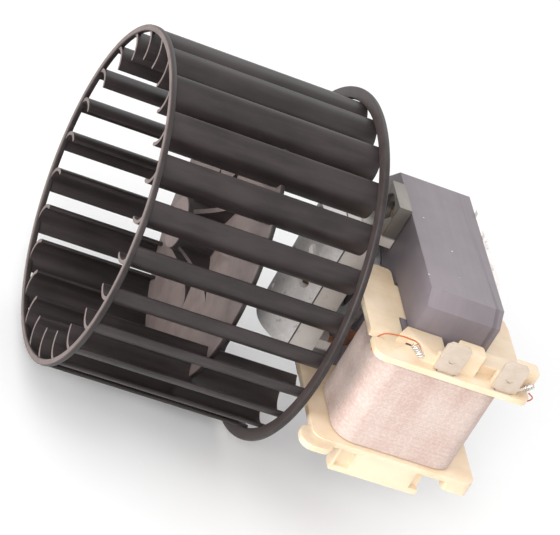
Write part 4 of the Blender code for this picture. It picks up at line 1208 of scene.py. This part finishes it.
@dataclass
class Terminals(Part):
    """The two push-on tabs, the wire wrapped on their legs and the leads. Angles are in degrees."""

    edge: float = 0.09 * MM
    half_width: float = 3.15 * MM
    moon_width: float = 1.9 * MM
    moon_depth: float = 0.3 * MM
    moon_height: float = 4.6 * MM
    moon_rise: float = 0.55 * MM
    moon_bulge: float = 0.62
    moon_sweep: Span = (-38.0, -142.0)
    moon_steps: tuple[int, int] = (10, 8)
    wire: float = 0.16 * MM
    wire_faces: int = 8
    turns: float = 6.0
    turn_steps: int = 14
    lead_inset: float = 0.13 * MM
    wrap_share: float = 0.74
    taper: float = 0.92
    bead_share: float = 0.95
    bead_stretch: tuple[float, float, float] = (0.8, 0.8, 1.9)

    def moon(self, node: str, index: int) -> bpy.types.Object:
        """The cutter for a tab's half-moon catch.

        Args:
            node: The tab's solid.
            index: The tab's number.

        Returns:
            The cutter.
        """
        low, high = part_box(node)
        left_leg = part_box(f"wire_wrap_{index}")[0].x < (low.x + high.x) / 2
        middle = high.x - self.half_width if left_leg else low.x + self.half_width
        height = high.z - self.moon_height
        lower, upper = self.moon_steps
        outline = arc((middle, height), self.moon_width / 2, 180, 360, lower)
        centre = (middle, height + self.moon_rise)
        outline += arc(centre, self.moon_width * self.moon_bulge, *self.moon_sweep, upper)[1:-1]
        bottom = low.y + self.moon_depth
        mesh = plate(outline, low.y - MM, bottom, lambda x, z, y: Vector((x, y, z)))
        return linked("moon_cutter", mesh)

    def tab(self, index: int) -> None:
        """One tab with its half-moon catch.

        Args:
            index: The tab's number.
        """
        node = f"terminal_{index}"
        shell = with_edges(merged_copy(node), self.edge)
        cutter = self.moon(node, index)
        cut = modified(shell, "BOOLEAN", {"operation": "DIFFERENCE", "solver": "EXACT", "object": cutter})
        bpy.data.objects.remove(cutter, do_unlink=True)
        self.place(f"{node}_finished", smoothed(cut, TAB_SHARP), self.looks.tin, node)

    def coiled(self, node: str, radius: float, length: float) -> Mesh:
        """A tab's wire, coiled about Z from the origin upwards.

        Args:
            node: The wire's solid.
            radius: Radius of the wire's centre at the lower end.
            length: Length of the coil.

        Returns:
            The wire as a plain mesh.
        """
        grower = Grower(f"{node}_coil", {"Turns": self.turns, "Coil": radius, "Taper": self.taper,
                                         "Wire": self.wire, "Length": length})
        start = grower.given("Coil")
        sockets = {"Resolution": self.turn_steps, "Rotations": grower.given("Turns"), "Start Radius": start,
                   "End Radius": start * grower.given("Taper"), "Height": grower.given("Length")}
        path = grower.make("GeometryNodeCurveSpiral", {}, sockets)
        grower.close(grower.tube(path, self.wire_faces), self.looks.solder.material)
        return smoothed(grower.run(bpy.data.meshes.new("empty")))

    def wrap(self, index: int) -> None:
        """The bare wire wrapped on a tab's leg, with a bead of solder in it.

        Args:
            index: The tab's number.
        """
        node = f"wire_wrap_{index}"
        points = [vert.co.copy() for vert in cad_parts[node].data.vertices]
        middle = sum(points, Vector()) / len(points)
        low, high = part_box(node)
        rise = 1 if index == 2 else -1
        axis = Vector((high.x - low.x, 0.0, rise * (high.z - low.z))).normalized()
        reach = max((point - middle).dot(axis) for point in points)
        radius = ((high.y - low.y) / 2 - self.wire) * self.wrap_share
        coil = self.coiled(node, radius, 2 * reach - 2 * self.wire)
        turn = axis.to_track_quat("Z", "Y").to_matrix().to_4x4()
        coil.transform(Matrix.Translation(middle - axis * (reach - self.wire)) @ turn)
        bead = bmesh.new()
        bmesh.ops.create_icosphere(bead, subdivisions=3, radius=radius * self.bead_share)
        bead_mesh = to_mesh(bead)
        bead_mesh.transform(Matrix.Translation(middle) @ turn @ Matrix.Diagonal((*self.bead_stretch, 1.0)))
        self.place(f"{node}_finished", joined([coil, bead_mesh]), self.looks.solder, node)

    def lead(self, node: str) -> None:
        """A lead as thin as the real wire, along the middle of its solid.

        Args:
            node: The lead's solid.
        """
        shape = merged_copy(node)
        shape.normal_update()
        moves = [(vert, vert.normal * self.lead_inset) for vert in shape.verts]
        for vert, move in moves:
            vert.co -= move
        self.place(f"{node}_finished", smoothed(to_mesh(shape)), self.looks.enamel, node)

    def build(self) -> None:
        """Builds both tabs with their wires."""
        for index in (1, 2):
            self.tab(index)
            self.wrap(index)
        self.lead("start_lead")
        self.lead("finish_lead")


@dataclass
class Rotor(Part):
    """The shaft and what turns inside the motor."""

    body: Body = Body.ROTOR

    def build(self) -> None:
        """Dresses the rotor's solids."""
        self.dress("shaft", self.looks.steel)
        self.dress("rotor_stack", self.looks.core)
        self.dress("rotor_cage", self.looks.cage)
        for end in ("front", "rear"):
            self.dress(f"{end}_sleeve", self.looks.steel)
            self.dress(f"{end}_thrust_washer", self.looks.nylon)


# Studio


@dataclass(frozen=True)
class Lamp:
    """A square soft lamp that looks at the motor."""

    name: str
    place: tuple[float, float, float]
    size: float
    power: float

    def build(self, target: Vector) -> None:
        """Adds the lamp.

        Args:
            target: The point that it looks at.
        """
        data = bpy.data.lights.new(self.name, "AREA")
        data.shape = "SQUARE"
        data.size = self.size
        data.energy = self.power
        lamp = linked(self.name, data)
        lamp.location = self.place
        lamp.rotation_euler = (target - lamp.location).to_track_quat("-Z", "Y").to_euler()


@dataclass
class Studio:
    """The camera at the photograph's place, soft light and a plain pale floor."""

    eye: tuple[float, float, float] = (-0.262747, -0.551834, 0.335252)
    ahead: tuple[float, float, float] = (0.355010, 0.797101, -0.488464)
    down: tuple[float, float, float] = (0.297706, -0.591690, -0.749182)
    picture_width: float = 560.0
    focal_pixels: float = 2889.72
    sensor: float = 36.0
    clip: Span = (0.01, 20.0)
    floor_drop: float = 2.0 * MM
    floor_size: float = 6.0
    floor_grain: Grain = Grain(6.0, 2.0)
    floor_tones: tuple[Colour, Colour] = ((0.90, 0.90, 0.90), (0.92, 0.92, 0.92))
    white: Colour = (1.0, 1.0, 1.0)
    ambient: float = 0.74
    lamps: tuple[Lamp, ...] = (
        Lamp("key", (-0.45, -0.40, 0.95), 0.7, 2.4),
        Lamp("front", (-0.36, -0.74, 0.48), 0.25, 3.9),
        Lamp("left", (-0.95, -0.40, 0.20), 0.6, 7.5),
        Lamp("rear", (0.45, 0.80, 0.75), 0.6, 2.0),
    )

    def camera(self) -> None:
        """Adds the camera."""
        data = bpy.data.cameras.new("camera")
        data.sensor_fit = "HORIZONTAL"
        data.sensor_width = self.sensor
        data.lens = self.focal_pixels * self.sensor / self.picture_width
        data.clip_start, data.clip_end = self.clip
        back = -Vector(self.ahead).normalized()
        up = -Vector(self.down).normalized()
        turn = Matrix((up.cross(back), up, back)).transposed().to_4x4()
        camera = linked("camera", data)
        camera.matrix_world = Matrix.Translation(self.eye) @ turn
        bpy.context.scene.camera = camera

    def floor(self) -> None:
        """Adds the pale floor under the wheel."""
        shade = Shade("floor")
        colour = shade.mix(shade.noise(self.floor_grain), *self.floor_tones)
        material = shade.finish(Base_Color=colour, Roughness=0.9, Specular_IOR_Level=0.1)
        level = CAD_BOX[0].z - self.floor_drop
        half = self.floor_size / 2
        corners = [(-half, -half, level), (half, -half, level), (half, half, level), (-half, half, level)]
        mesh = bpy.data.meshes.new("floor")
        mesh.from_pydata(corners, [], [(0, 1, 2, 3)])
        mesh.materials.append(material)
        linked("floor", mesh)

    def world(self) -> None:
        """A white surround for the camera and for reflections, and a softer one as light."""
        world = bpy.data.worlds.new("surround")
        world.use_nodes = True
        bpy.context.scene.world = world
        graph = Graph(world.node_tree)
        graph.tree.nodes.clear()
        outputs = graph.make("ShaderNodeLightPath").socket.node.outputs
        rays = [Val(graph, outputs[f"Is {kind} Ray"]) for kind in ("Camera", "Glossy", "Transmission")]
        share = rays[0] + rays[1] + rays[2]
        soft, white = (graph.make("ShaderNodeBackground", {}, {"Color": self.white, "Strength": strength})
                       for strength in (self.ambient, 1.0))
        mixed = graph.make("ShaderNodeMixShader", {}, {0: share, 1: soft, 2: white})
        graph.make("ShaderNodeOutputWorld", {}, {"Surface": mixed})

    def build(self) -> None:
        """Builds the studio round the motor."""
        target = (CAD_BOX[0] + CAD_BOX[1]) / 2
        for lamp in self.lamps:
            lamp.build(target)
        self.camera()
        self.floor()
        self.world()
        bpy.context.scene.view_settings.view_transform = "Standard"


def main() -> None:
    """Builds the studio and every sub-assembly in order."""
    logging.basicConfig(level=logging.INFO, format="%(name)s %(message)s")
    Studio().build()
    looks = Palette()
    for assembly in (Rotor, Core, Brackets, Former, Coil, Terminals, Wheel):
        assembly(looks).build()


if __name__ == "__main__":
    main()
